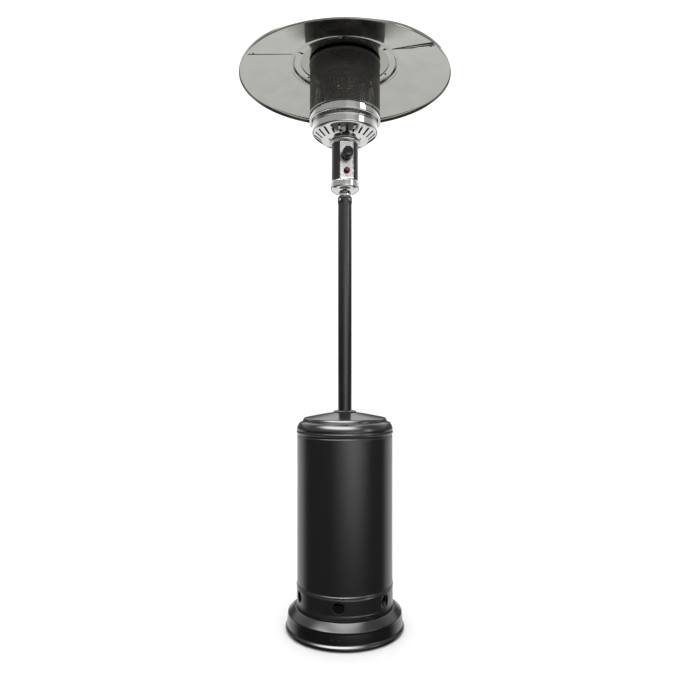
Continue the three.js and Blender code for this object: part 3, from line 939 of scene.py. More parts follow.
@dataclass
class GasSupply:
    """The bottle in the housing, its valve, and the regulator with the hose that runs up the post."""

    valve_height: float = 664.0
    regulator_x: float = 78.0
    hose_radius: float = 5.5

    def build(self) -> None:
        """Models every piece of the gas supply."""
        self.bottle()
        self.collar()
        self.valve()
        self.handwheel()
        self.regulator()
        self.hose()

    def bottle(self) -> None:
        """Models the bottle: two domed halves welded at the waist, on a foot ring."""
        at = Extent.of("bottle_body")
        out, low, high = at.reach, at.bottom, at.top
        waist = (low + high) / 2 - 10
        outline = [
            (0, low), (60, low + 1, 30), (110, low + 10, 20), (out, low + 40, 34), (out, waist - 4),
            (out + 1.4, waist - 1.5, 1.5), (out + 1.4, waist + 1.5, 1.5), (out, waist + 4),
            (out, high - 72, 40), (118, high - 32, 30), (70, high - 14, 20), (23, high - 9, 3),
            (20, high, 1), (13, high), (13, high - 14),
        ]
        body = walled(turned("gas_bottle", outline, steps=96), 3.0)
        place(body, BOTTLE, Body.FRAME, "bottle_body", angle=50.0)
        foot = Extent.of("bottle_foot_ring")
        ring = [
            (foot.reach - 1, foot.top - 1), (foot.reach - 1, foot.bottom + 4, 2),
            (foot.reach, foot.bottom + 0.8, 1), (foot.reach - 4, foot.bottom + 0.8),
        ]
        place(walled(turned("gas_bottle_foot", ring, steps=96), 2.0), BOTTLE, Body.FRAME, "bottle_foot_ring")

    def collar(self) -> None:
        """Models the guard round the valve, with its rolled rim, hand holes and gap for the regulator."""
        at = Extent.of("bottle_collar")
        out, low, high = at.reach, at.bottom, at.top
        outline = [
            (out - 3, low), (out - 1, low), (out - 1, high - 4, 1), (out, high - 3, 0.5),
            (out, high - 0.2, 1), (out - 4, high - 0.2, 1), (out - 4, high - 3, 0.5), (out - 3, high - 4, 1),
        ]
        guard = turned("gas_bottle_guard", outline, steps=96, loop=True)
        hand = block("hand_hole", (70, 260, 24), (0, 0, low + 23.5))
        eased(hand, 8, 4, 80)
        gap = block("gap", (260, 124, 60), (150, -24, low + 45.5))
        place(cut_away(guard, hand, gap), BOTTLE, Body.FRAME, "bottle_collar")

    def valve(self) -> None:
        """Models the bottle's valve: a turned body, its bonnet and the threaded side outlet."""
        at = Extent.of("bottle_valve")
        low, high = self.valve_height - 13, self.valve_height + 12
        outline = [
            (0, at.bottom), (12.5, at.bottom), (12.5, low), (16, low, 1), (16, high, 2), (9, high + 1, 1),
            (9, at.top - 1, 1), (7, at.top), (0, at.top),
        ]
        body = turned("valve_body", outline, steps=48)
        thread = [(0, 0)]
        for k in range(9):
            thread += [(10.2, 15 + k * 2.0), (9.4, 16 + k * 2.0)]
        thread += [(10, 34), (6, 34), (6, 26), (0, 26)]
        outlet = moved(rolled(turned("outlet", thread, steps=32), 90, "Y"), z=self.valve_height)
        place(together("valve_body", [body, outlet]), BRASS, Body.FRAME, "bottle_valve")

    def handwheel(self) -> None:
        """Models the lobed handwheel with a dished top and its screw."""
        at = Extent.of("valve_handwheel")
        wheel = bar("handwheel", 29.0, at.top - at.bottom, sides=64, bottom=at.bottom)
        for vertex in wheel.data.vertices:
            angle = math.atan2(vertex.co.y, vertex.co.x)
            lobe = 1 + 0.065 * math.cos(angle * 8)
            vertex.co.x *= lobe
            vertex.co.y *= lobe
        select_faces(wheel, lambda centre, normal: normal.z > 0.9)
        with editing(wheel):
            bpy.ops.mesh.inset(thickness=7 * MM)
            bpy.ops.transform.translate(value=(0, 0, -4 * MM))
            bpy.ops.mesh.inset(thickness=10 * MM)
            bpy.ops.transform.translate(value=(0, 0, 3 * MM))
        place(eased(wheel, 1.2, 3, 30), GREY, Body.HANDWHEEL, "valve_handwheel")
        screw = moved(Screw(4.0, 1.6).build("handwheel_screw"), z=at.top - 1.2)
        place(screw, ZINC, Body.HANDWHEEL)

    def regulator(self) -> None:
        """Models the regulator's pressed dome, its cap, spout and union nut."""
        at = Extent.of("regulator")
        low = at.bottom
        dome = [
            (0, low), (25, low, 3), (28, low + 6, 2), (33, low + 8, 1), (33, low + 11, 1), (28, low + 13, 2),
            (25, low + 21, 4), (14, low + 23, 1), (13, low + 26, 1), (0, low + 26),
        ]
        body = moved(turned("regulator_body", dome, steps=64), x=self.regulator_x)
        pipe = moved(rolled(bar("inlet", 9, 20, bottom=43.7), 90, "Y"), z=self.valve_height)
        spout = rolled(bar("spout", 5.4, 34, bottom=10), 90, "X")
        moved(spout, x=self.regulator_x, y=-10.5, z=self.valve_height)
        place(together("regulator_body", [body, pipe, spout]), ZINC, Body.FRAME, "regulator")
        nut = eased(bar("union_nut", 15, 9.4, sides=6, bottom=34.3), 0.8)
        place(moved(rolled(nut, 90, "Y"), z=self.valve_height), BRASS, Body.FRAME, "regulator_union_nut")

    def hose(self) -> None:
        """Models the hose from the regulator's spout up through the post to the control valve."""
        spout_x, port = self.regulator_x, self.valve_height
        points = [
            Vector((spout_x, -54.6, port)), Vector((spout_x, -66, port)), Vector((76, -80, 666)),
            Vector((60, -88, 673)), Vector((30, -74, 690)), Vector((8, -36, 706)), Vector((0, -8, 724)),
            Vector((0, 0, 745)), Vector((0, 0, 800)), Vector((0, 0, 1100)), Vector((0, 0, 1500)),
            Vector((0, 0, 1786)),
        ]
        place(route("supply_hose", points, self.hose_radius), HOSE, Body.FRAME, "gas_hose")
        clip = walled(turned("hose_clip", [(6.2, 0), (6.8, 0.4), (6.8, 7.6), (6.2, 8)], steps=32), 0.7)
        ear = block("ear", (5, 3.4, 6), (8.6, 0, 4))
        clip = rolled(together("hose_clip", [clip, eased(ear, 0.4)]), 90, "X")
        place(moved(clip, x=spout_x, y=-56, z=port), ZINC, Body.FRAME)


@dataclass
class Housing:
    """The cylinder over the gas bottle, its lid and the collar at the post. It slides up as one."""

    sheet: float = 1.2
    seam_angle: float = 81.0

    def build(self) -> None:
        """Models every piece of the housing."""
        self.cylinder()
        self.seam()
        self.lid()
        self.collar()

    def cylinder(self) -> None:
        """Models the cylinder with its rolled bead at the bottom."""
        at = Extent.of("housing_shell")
        out = at.reach
        wall = out - 2.6
        low, high = at.bottom, at.top
        outline = [
            (wall - 0.6, low + 0.8), (out - 0.6, low, 1.2), (out, low + 2.2, 1.5), (out - 0.5, low + 5, 1.5),
            (wall, low + 8, 1.5), (wall, high - 16, 1.0), (wall - 2.4, high - 14, 1.0),
            (wall - 2.4, high),
        ]
        piece = walled(turned("housing_cylinder", outline, steps=192), self.sheet)
        place(piece, ANTHRACITE, Body.HOUSING, "housing_shell", angle=50.0)

    def seam(self) -> None:
        """Models the folded seam that closes the cylinder."""
        at = Extent.of("housing_shell")
        wall = at.reach - 2.6
        low, high = at.bottom + 14, at.top - 18
        fold = block("housing_seam", (1.2, 9.0, high - low), (wall, 0, (low + high) / 2))
        place(rolled(eased(fold, 0.5), self.seam_angle), ANTHRACITE, Body.HOUSING)

    def lid(self) -> None:
        """Models the lid: a low cone, a step, a round shoulder and a bead over the cylinder's rim."""
        at = Extent.of("housing_lid")
        out, low, high = at.reach, at.bottom, at.top
        wall = out - 1.5
        outline = [
            (wall - 1.7, low), (wall - 1.3, low + 5, 1.5), (out, low + 8.5, 2), (out, low + 12.5, 2),
            (wall - 0.4, low + 16.5, 2.5), (wall, low + 28, 12), (wall - 8.5, low + 46, 12),
            (wall - 16, low + 50, 2), (wall - 22, low + 51.5, 1.5), (wall - 24, low + 58, 2),
            (wall - 27.5, low + 65, 4), (wall - 84, high - 12.5, 30), (29.5, high),
        ]
        piece = walled(turned("lid_pressing", outline, steps=192), self.sheet)
        place(piece, ANTHRACITE, Body.HOUSING, "housing_lid", angle=50.0)

    def collar(self) -> None:
        """Models the small collar that guides the lid on the post."""
        at = Extent.of("lid_collar")
        low, high = at.bottom, at.top
        outline = [
            (28.5, high - 4.5), (at.reach - 1.5, low, 0.6), (at.reach, low + 1.6, 1),
            (at.reach - 3, high - 3, 2), (36, high, 3), (28.5, high, 0.5),
        ]
        place(turned("post_collar", outline, steps=96, loop=True), ANTHRACITE, Body.HOUSING, "lid_collar")


@dataclass
class Post:
    """The post, the spigot of the burner head in its top, and the bolts that hold them together."""

    wall: float = 1.6
    bolt_phase: float = 36.0
    bolt_seat: float = 28.1

    def build(self) -> None:
        """Models every piece of the post."""
        self.tube()
        self.bolts()
        self.spigot()

    def tube(self) -> None:
        """Models the tube with its widened top."""
        at = Extent.of("post_tube")
        top = at.top
        thin = at.reach - 1.5
        outline = [
            (thin, at.bottom), (thin, top - 27, 6), (at.reach, top - 20, 6), (at.reach, top - 2, 2),
            (26, top),
        ]
        tube = walled(turned("post", outline, steps=64), self.wall)
        place(tube, POST_PAINT, Body.FRAME, "post_tube", angle=50.0)

    def bolts(self) -> None:
        """Models the four bolts round the top of the post."""
        at = Extent.of("post_bolt_1")
        height = (at.bottom + at.top) / 2
        bolt = moved(Screw(5.2, 3.4, 5.0).build("bolt"), z=self.bolt_seat)
        for i, each in enumerate(copies(bolt, "top_bolt", 4)):
            facing_out(each, self.bolt_phase + i * 90, height)
            place(each, ZINC, Body.FRAME, f"post_bolt_{i + 1}")

    def spigot(self) -> None:
        """Models the polished neck between the post and the cap of the control head."""
        at = Extent.of("burner_spigot")
        out = at.reach
        outline = [
            (out - 2.5, at.bottom), (out, at.bottom, 0.5), (out, at.top - 25.5, 1),
            (out - 1.2, at.top - 23, 1), (out - 1.2, at.top - 15, 1), (out - 3, at.top - 12, 1.5),
            (out - 1.4, at.top - 8, 1.5), (out - 2, at.top, 0.5), (out - 5, at.top),
            (out - 5, at.bottom + 20),
        ]
        place(turned("neck_spigot", outline, steps=64, loop=True), CHROME, Body.FRAME, "burner_spigot")


@dataclass
class ControlHead:
    """The round housing below the burner, with its control plate, knob, igniter and gas valve."""

    knob_height: float = 1822.0
    igniter_height: float = 1762.0
    window: float = 31.0
    plate_front: float = 47.0
    jet_y: float = -14.0

    def build(self) -> None:
        """Models every piece of the control head."""
        self.cap()
        self.shell()
        self.plate()
        self.knob()
        self.igniter()
        self.inside()

    def cap(self) -> None:
        """Models the rounded cap that closes the housing from below."""
        at = Extent.of("lower_cap")
        out, low, high = at.reach, at.bottom, at.top
        outline = [
            (24, low + 1), (28, low, 1), (42, low + 5, 12), (51, low + 13, 5), (out, low + 17, 2.5),
            (out, high - 3, 1), (out - 1.5, high, 1), (out - 4, high),
        ]
        cap = walled(turned("round_cap", outline, steps=128), 1.2, 1.0)
        place(cap, CHROME, Body.FRAME, "lower_cap", angle=30.0)

    def shell(self) -> None:
        """Models the housing's sheet, which ends in two folds beside the control plate."""
        at = Extent.of("control_housing")
        out = at.reach
        outline = [(out, at.bottom + 0.5), (out, at.top)]
        arc = 360 - 2 * self.window
        sheet = turned("head_shell", outline, steps=112, start=self.window - 90, arc=arc)
        # The housing's sheet takes the dark colour that stands in for its dark reflections: painted
        # reflection.
        place(walled(sheet, 1.2, -1.0), HEAD_DARK_REFLECTION, Body.FRAME, "control_housing")

    def plate(self) -> None:
        """Models the control plate: a raised border round a flat field, with a slot near its foot."""
        low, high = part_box("control_plate")
        width, tall = (high.x - low.x) / MM, (high.z - low.z) / MM
        middle = (low.z + high.z) / MM / 2
        depth = 5.0
        plate = block("front_plate", (width, depth, tall), (0, -self.plate_front + depth / 2, middle))
        select_faces(plate, lambda centre, normal: normal.y < -0.9)
        with editing(plate):
            bpy.ops.mesh.inset(thickness=2.2 * MM)
            bpy.ops.transform.translate(value=(0, 0.5 * MM, 0))
            bpy.ops.mesh.inset(thickness=0.9 * MM)
            bpy.ops.transform.translate(value=(0, 0.7 * MM, 0))
        slot = block("slot", (20, 6, 1.8), (0, -self.plate_front, low.z / MM + 7))
        knob_hole = facing_front(bar("hole", 8, 30, bottom=30), self.knob_height)
        igniter_hole = facing_front(bar("hole", 9, 30, bottom=30), self.igniter_height)
        plate = eased(cut_away(plate, slot, knob_hole, igniter_hole), 0.35)
        place(plate, PLATE, Body.FRAME, "control_plate", angle=15.0)

    def knob(self) -> None:
        """Models the control knob: a round skirt, an eight-sided grip and a raised pointer."""
        low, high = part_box("control_knob")
        radius = (high.x - low.x) / MM / 2
        back, front = -high.y / MM, -low.y / MM
        edge = [(4.6, back), (radius, back, 1), (radius, back + 4, 1.5), (12, back + 5)]
        skirt = turned("skirt", edge, steps=64)
        grip = bar("grip", radius, front - back - 3, sides=8, bottom=back + 3)
        rolled(grip, 22.5)
        select_faces(grip, lambda centre, normal: normal.z > 0.9)
        with editing(grip):
            bpy.ops.transform.resize(value=(0.96, 0.96, 1), center_override=(0, 0, front * MM))
        eased(grip, 3.2, 4, 30)
        select_faces(grip, lambda centre, normal: normal.z > 0.99)
        with editing(grip):
            bpy.ops.mesh.inset(thickness=2.5 * MM)
            bpy.ops.transform.translate(value=(0, 0, -0.8 * MM))
        pointer = eased(block("pointer", (2.4, radius * 0.72, 1.2), (0, radius * 0.4, front - 0.6)), 0.4)
        knob = together("gas_knob", [grip, skirt, pointer])
        place(facing_front(knob, self.knob_height), BLACK, Body.KNOB, "control_knob")
        stem_low, stem_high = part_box("valve_stem")
        length = (stem_high.y - stem_low.y) / MM
        stem = eased(bar("knob_stem", 4.0, length, sides=32, bottom=-stem_high.y / MM), 0.4)
        place(facing_front(stem, self.knob_height), BRASS, Body.STEM, "valve_stem")

    def igniter(self) -> None:
        """Models the igniter: a black ring nut round a red push button, on its body behind the plate."""
        ring = [(9.2, 47.1), (12.2, 47.1, 0.6), (12.2, 51, 1), (11, 54, 1), (9.2, 54, 0.6), (8.6, 52)]
        bezel = turned("igniter_ring", ring, steps=64, loop=True)
        place(facing_front(bezel, self.igniter_height), BLACK, Body.FRAME, "igniter_bezel")
        cap = [(0, 50.5), (7.4, 50.5), (7.4, 60.8, 1.6), (5.6, 63, 1.6), (2.0, 62.4, 1.5), (0, 62.2)]
        button = turned("push_button", cap, steps=64)
        place(facing_front(button, self.igniter_height), RED, Body.BUTTON, "igniter_button")
        case = [
            (0, 8), (8.2, 8, 1), (8.2, 30, 0.5), (7, 31), (7, 33), (8.2, 34, 0.5), (8.2, 45, 0.5), (0, 45),
        ]
        body = turned("spark_body", case, steps=48)
        place(facing_front(body, self.igniter_height), BLACK, Body.FRAME, "igniter_body")

    def inside(self) -> None:
        """Models the gas valve, the injector and the tilt switch behind the plate."""
        valve = eased(block("valve_block", (30, 34, 46), (0, -22, self.knob_height)), 2.0, 3)
        gland = facing_front(eased(bar("gland", 6.5, 6, sides=6, bottom=37), 0.4), self.knob_height)
        outlet = moved(eased(bar("outlet", 7, 16, bottom=self.knob_height + 20), 0.4), y=self.jet_y)
        inlet = eased(bar("inlet", 7.5, 14, bottom=self.knob_height - 34), 0.4)
        seat = eased(block("seat", (16, 22, 10), (0, -10, self.knob_height - 22)), 0.6)
        control = together("control_valve", [valve, gland, outlet, inlet, seat])
        place(control, BRASS, Body.FRAME, "gas_valve")
        jet = Extent.of("injector")
        outline = [
            (0, jet.bottom), (6, jet.bottom, 0.5), (6, jet.top - 8, 0.5), (4, jet.top, 1), (0, jet.top),
        ]
        place(moved(turned("gas_jet", outline, steps=32), y=self.jet_y), BRASS, Body.FRAME, "injector")
        low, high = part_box("tilt_switch")
        centre = (low + high) / 2 / MM
        switch = eased(block("tilt_cutoff", (high - low) / MM, centre), 1.5, 3)
        place(switch, GREY, Body.FRAME, "tilt_switch")


@dataclass
class BurnerHead:
    """The burner: flange, slotted bowl, upper band, burner parts and the perforated emitter screen."""

    slot_count: int = 24
    slot_phase: float = 10.5
    slot_inner: float = 91.0
    slot_outer: float = 119.0
    band_screw_phase: float = 39.0
    neck_screw_phase: float = -39.0
    neck_screw_radius: float = 68.0
    hole_pitch: float = 5.0
    cup_slots: int = 36

    def build(self) -> None:
        """Models every piece of the burner head."""
        self.flange()
        self.bowl()
        self.neck_screws()
        self.band()
        self.burner()
        self.tubes()
        self.screen()
        self.cap()

    def flange(self) -> None:
        """Models the stepped flange between the control housing and the bowl."""
        at = Extent.of("neck_flange")
        out, low, high = at.reach, at.bottom, at.top
        outline = [
            (44, low), (53, low, 0.5), (53.5, low + 1.5, 0.5), (57, low + 1.8, 0.8), (57.6, low + 4, 0.8),
            (out - 0.6, low + 4.6, 0.8), (out, low + 7, 1.2), (out, high - 1, 0.8), (out - 1, high, 0.5),
            (44, high),
        ]
        ring = turned("neck_ring", outline, steps=128, loop=True)
        place(ring, CHROME, Body.FRAME, "neck_flange", angle=25.0)

    def bowl(self) -> None:
        """Models the bowl in one sheet: a cone with radial slots, a round edge and a straight side."""
        at = Extent.of("slotted_bowl")
        out = at.reach - 3
        low = at.bottom
        outline = [
            (44, low), (66, low + 1, 4), (self.slot_inner - 3, low + 5, 3), (self.slot_inner, low + 6.6),
            (self.slot_outer, low + 26.8), (out - 4, low + 30, 2), (out, low + 35, 3), (out, low + 59, 1.5),
            (out + 3, low + 62, 1.5), (out + 3, low + 65, 1.5), (out, low + 68, 1.5), (out, at.top),
        ]
        steps = self.slot_count * 6
        bowl = turned("slotted_cone", outline, steps=steps, start=self.slot_phase - 180 / self.slot_count)
        step = 360 / self.slot_count

        def in_slot(centre: Vector, _normal: Vector) -> bool:
            """Whether a face lies where a slot is."""
            radius = math.hypot(centre.x, centre.y)
            if not self.slot_inner < radius < self.slot_outer or centre.z > low + 28:
                return False
            angle = math.degrees(math.atan2(centre.y, centre.x)) - self.slot_phase
            return abs((angle + step / 2) % step - step / 2) < step / 5.5

        select_faces(bowl, in_slot)
        with editing(bowl):
            bpy.ops.mesh.delete(type="FACE")
        walled(bowl, 1.2, -1.0)
        place(bowl, CHROME, Body.FRAME, "slotted_bowl", angle=40.0)
        bowl.data.materials.append(SCREEN.material())
        for face in bowl.data.polygons:
            inward = face.normal.x * face.center.x + face.normal.y * face.center.y < 0
            face.material_index = 1 if face.normal.z > 0.1 or (inward and face.normal.z > -0.1) else 0

    def neck_screws(self) -> None:
        """Models the three screws that hold the bowl to the neck flange."""
        height = Extent.of("slotted_bowl").bottom + 1.6
        screw = rolled(Screw(3.6, 1.8).build("screw"), 180, "X")
        moved(screw, x=self.neck_screw_radius, z=height)
        for i, each in enumerate(copies(screw, "neck_screw", 3)):
            place(rolled(each, self.neck_screw_phase + i * 120), DARK_ZINC, Body.FRAME)

    def band(self) -> None:
        """Models the upper band with its rolled lower edge, and its four screws."""
        at = Extent.of("upper_band")
        out, low, high = at.reach, at.bottom, at.top
        outline = [
            (129, low + 0.2), (out - 3.4, low, 1), (out - 0.3, low + 2.5, 2), (out, low + 6, 2),
            (out, high - 1.4, 1), (out - 0.8, high, 0.6), (out - 2.0, high, 0.5), (out - 2.0, low + 5, 1),
            (129, low + 2.6),
        ]
        band = turned("shoulder_band", outline, steps=192, loop=True)
        place(band, CHROME, Body.FRAME, "upper_band", angle=30.0)
        head = Extent.of("band_screw_1")
        height = (head.bottom + head.top) / 2
        screw = moved(Screw(4.0, 2.0, 0.0).build("screw"), z=out + 0.1)
        for i, each in enumerate(copies(screw, "shoulder_screw", 4)):
            facing_out(each, self.band_screw_phase + i * 90, height)
            place(each, DARK_ZINC, Body.FRAME, f"band_screw_{i + 1}")

    def burner(self) -> None:
        """Models the mixing tube, the slotted cup on it and the flame spreader."""
        tube = Extent.of("burner_tube")
        low, high = tube.bottom, tube.top
        outline = [
            (18, low), (18, low + 2.5), (42, low + 2.5), (42, low + 6), (18, low + 6, 1), (18, high - 27, 6),
            (24, high - 7, 6), (24, high),
        ]
        place(walled(turned("mixing_tube", outline, steps=64), 1.4), BURNER, Body.FRAME, "burner_tube")
        cup = Extent.of("burner_cup")
        low, high, out = cup.bottom, cup.top, cup.reach
        rows = [
            (24.6, low), (66, low + 1.5, 4), (72, low + 7), (out - 4, high - 12), (out, high - 6, 2),
            (out, high),
        ]
        piece = turned("flame_cup", rows, steps=self.cup_slots * 4)
        step = 360 / self.cup_slots

        def in_slot(centre: Vector, _normal: Vector) -> bool:
            """Whether a face lies where a flame slot is."""
            angle = math.degrees(math.atan2(centre.y, centre.x))
            return low + 7 < centre.z < high - 12 and (angle % step) < step / 2

        select_faces(piece, in_slot)
        with editing(piece):
            bpy.ops.mesh.delete(type="FACE")
        place(walled(piece, 1.0), BURNER, Body.FRAME, "burner_cup")
        top = Extent.of("flame_spreader")
        low, high, out = top.bottom, top.top, top.reach
        outline = [
            (0, low), (6, low, 1), (6, high - 21, 4), (out - 2, high - 18, 2), (out, high - 15, 1.5),
            (40, high - 4, 12), (0, high),
        ]
        place(turned("spreader_dome", outline, steps=64), BURNER, Body.FRAME, "flame_spreader")

    def tubes(self) -> None:
        """Models the pilot tube and the thermocouple, which rise beside the burner."""
        run = [
            (24, -18, 1800), (25, -15, 1825), (26, -12, 1850), (28, -8, 1880), (32, -6, 1906),
            (56, -6, 1960), (86, -6, 1995), (104, -6, 2030),
        ]
        kinds = (
            (1, "pilot_pipe", "pilot_tube", 3.0, ZINC),
            (-1, "flame_sensor", "thermocouple", 2.5, BRASS),
        )
        for side, name, node, radius, finish in kinds:
            points = [Vector((side * x, y, z)) for x, y, z in run + [(108, -6, Extent.of(node).top)]]
            place(route(name, points, radius, 4), finish, Body.FRAME, node)

    def screen(self) -> None:
        """Models the emitter screen: sheet with a square hole at every pitch, in a plain margin."""
        at = Extent.of("emitter_screen")
        out, low, high = at.reach, at.bottom, at.top
        margin = 4.0
        first = low + 30
        rows = round((high - margin - first) / self.hole_pitch)
        outline = [(out, low), (out, first)]
        outline += [(out, first + (i + 1) * (high - margin - first) / rows) for i in range(rows)]
        outline.append((out, high))
        steps = round(2 * math.pi * out / self.hole_pitch)
        sheet = turned("mesh_screen", outline, steps=steps)
        select_faces(sheet, lambda centre, normal: first < centre.z < high - margin)
        with editing(sheet):
            bpy.ops.mesh.inset(thickness=self.hole_pitch * 0.21 * MM, use_individual=True)
            bpy.ops.mesh.delete(type="FACE")
        place(walled(sheet, 0.7), SCREEN, Body.FRAME, "emitter_screen")

    def cap(self) -> None:
        """Models the plate on top of the screen, with a rolled rim."""
        at = Extent.of("screen_cap")
        out, low, high = at.reach, at.bottom, at.top
        outline = [
            (out - 1.8, low), (out - 0.2, low + 0.6, 0.8), (out, low + 6, 2), (out - 1, high, 2), (0, high),
        ]
        place(walled(turned("screen_lid", outline, steps=160), 1.2), SCREEN, Body.FRAME, "screen_cap")


@dataclass
class Reflector:
    """The reflector: three lapped panels on a hub disc, with their screws, studs and nuts."""

    seam_phase: float = -44.0
    lap: float = 1.3
    edge_lifts: tuple[tuple[float, float], ...] = ((-6.0, 0.0), (-1.5, 0.0), (-1.5, 0.0))
    screw_radius: float = 180.0
    seam_shadow_widths: tuple[float, float, float] = (1.8, 0.35, 0.5)
    rim_screw_radius: float = 370.0
    stud_radius: float = 110.0

    def build(self) -> None:
        """Models every piece of the reflector."""
        self.hub()
        for index in range(3):
            self.panel(index)
        self.seams()
        self.screws()
        self.studs()

    def hub(self) -> None:
        """Models the disc that the panels are screwed to."""
        at = Extent.of("reflector_hub")
        out = at.reach
        outline = [
            (0, at.bottom), (60, at.bottom, 5), (66, at.bottom + 0.4), (out, at.bottom + 0.4, 0.4),
            (out, at.top, 0.4), (0, at.top),
        ]
        place(turned("hub_disc", outline, steps=160), HUB_MIRROR, Body.FRAME, "reflector_hub")

    def panel(self, index: int) -> None:
        """Models one panel, which laps over the next and ends in a rolled rim.

        Args:
            index: which panel, from 0.
        """
        node = f"reflector_panel_{index + 1}"
        at = Extent.of(node)
        out = max(Extent.of(f"reflector_panel_{k + 1}").reach for k in range(3))
        low, high = at.bottom, at.top - 1.2
        outline = [
            (172, high), (197, high, 3), (201, high - 9, 3), (203, high - 12.4, 2.5), (208, high - 12.4, 2.5),
            (213, high - 10, 4), (300, high - 29.4, 60), (390, high - 49.4, 20), (out - 3.5, high - 54.4, 3),
            (out, high - 59, 3), (out, low + 2, 1.2), (out - 1.6, low, 1.2), (out - 2.8, low + 2.6),
        ]
        start = self.seam_phase + index * 120
        panel = turned(f"mirror_panel_{index + 1}", outline, steps=80, start=start, arc=120 + self.lap)
        first, last = self.edge_lifts[index]
        for vertex in panel.data.vertices:
            angle = (math.degrees(math.atan2(vertex.co.y, vertex.co.x)) - start) % 360
            share = (0.0 if angle > 300 else angle) / (120 + self.lap)
            reach = math.hypot(vertex.co.x, vertex.co.y) / MM
            weight = min(max((reach - 205) / 120, 0.0), 1.0)
            vertex.co.z += (first * (1 - share) ** 3 + last * share**3) * weight * MM
        with editing(panel):
            bpy.ops.mesh.select_all(action="SELECT")
            bpy.ops.mesh.normals_make_consistent(inside=False)
        place(walled(panel, 0.8), MIRROR, Body.FRAME, node, angle=40.0)

    def seams(self) -> None:
        """Models a near-black strip under each seam, where one panel steps over the next: a painted shadow in
        the gap between the lapped panels.
        """
        high = Extent.of("reflector_panel_1").top - 1.2
        start_radius, end_radius, taper = 215, 388, 0.35
        for i, width in enumerate(self.seam_shadow_widths):
            drop = -self.edge_lifts[i][0] / 3
            line = [(start_radius, high - 11.6), (300, high - 31.2 - drop), (end_radius, high - 51.2 - drop)]
            seam = math.radians(self.seam_phase + i * 120)
            start = self.seam_phase + i * 120 - width
            shade_strip = turned(f"seam_shade_{i + 1}", line, steps=4, start=start, arc=width)
            for vertex in shade_strip.data.vertices:
                reach = math.hypot(vertex.co.x, vertex.co.y) / MM
                angle = math.atan2(vertex.co.y, vertex.co.x)
                offset = (angle - seam + math.pi) % (2 * math.pi) - math.pi
                share = (reach - start_radius) / (end_radius - start_radius)
                turn = seam + offset * (taper + (1 - taper) * share)
                vertex.co.x, vertex.co.y = reach * MM * math.cos(turn), reach * MM * math.sin(turn)
            place(walled(shade_strip, 0.8), SEAM_SHADOW, Body.FRAME)

    def screws(self) -> None:
        """Models the ring of screws near the hub and the one at the rim of each seam."""
        high = Extent.of("reflector_panel_1").top - 1.2
        screw = rolled(Screw(4.4, 2.4, 5.0).build("screw"), 180, "X")
        moved(screw, x=self.screw_radius, z=high - 0.9)
        for i, each in enumerate(copies(screw, "hub_screw", 6)):
            # The front hub screw takes the bright zinc and the other five the black zinc, though all six are
            # alike: lit and shaded copies of one screw, the bright one a painted glint.
            finish = ZINC if i == 5 else DARK_ZINC
            place(rolled(each, self.seam_phase + i * 60), finish, Body.FRAME)
        screw = rolled(Screw(4.0, 2.2, 6.0).build("screw"), 180, "X")
        moved(screw, x=self.rim_screw_radius, z=high - 46.6)
        for i, each in enumerate(copies(screw, "seam_screw", 3)):
            place(rolled(each, self.seam_phase + 0.7 + i * 120), DARK_ZINC, Body.FRAME)

    def studs(self) -> None:
        """Models the studs between the screen's lid and the hub, and the domed nuts on top."""
        top = Extent.of("reflector_hub").top
        at = Extent.of("reflector_stud_1")
        stud = eased(bar("stud", 4, at.top - at.bottom, sides=32, bottom=at.bottom), 0.4)
        studs = copies(moved(stud, x=self.stud_radius), "hub_stud", 3)
        hexagon = eased(bar("hex", 6.5, 4, sides=6, bottom=top + 0.2), 0.4)
        dome = turned("dome", [(5, top + 4), (5, top + 6, 2), (2.5, top + 8, 2), (0, top + 8)], steps=24)
        nuts = copies(moved(together("nut", [hexagon, dome]), x=self.stud_radius), "hub_nut", 3)
        for i in range(3):
            turn = self.seam_phase + 60 + i * 120
            place(rolled(studs[i], turn), DARK_ZINC, Body.FRAME, f"reflector_stud_{i + 1}")
            place(rolled(nuts[i], turn), ZINC, Body.FRAME)


# ---------------------------------------------------------------- studio


@dataclass(frozen=True)
class Panel:
    """A soft-edged patch of the reflection dome: where it is seen from the heater, and how bright it is.

    Angles are in degrees. The azimuth is 0 at the camera and grows to its right. Each edge has a softness of
    its own.
    """

    azimuth: tuple[float, float]
    height: tuple[float, float]
    side_soft: tuple[float, float]
    height_soft: tuple[float, float]
    level: float


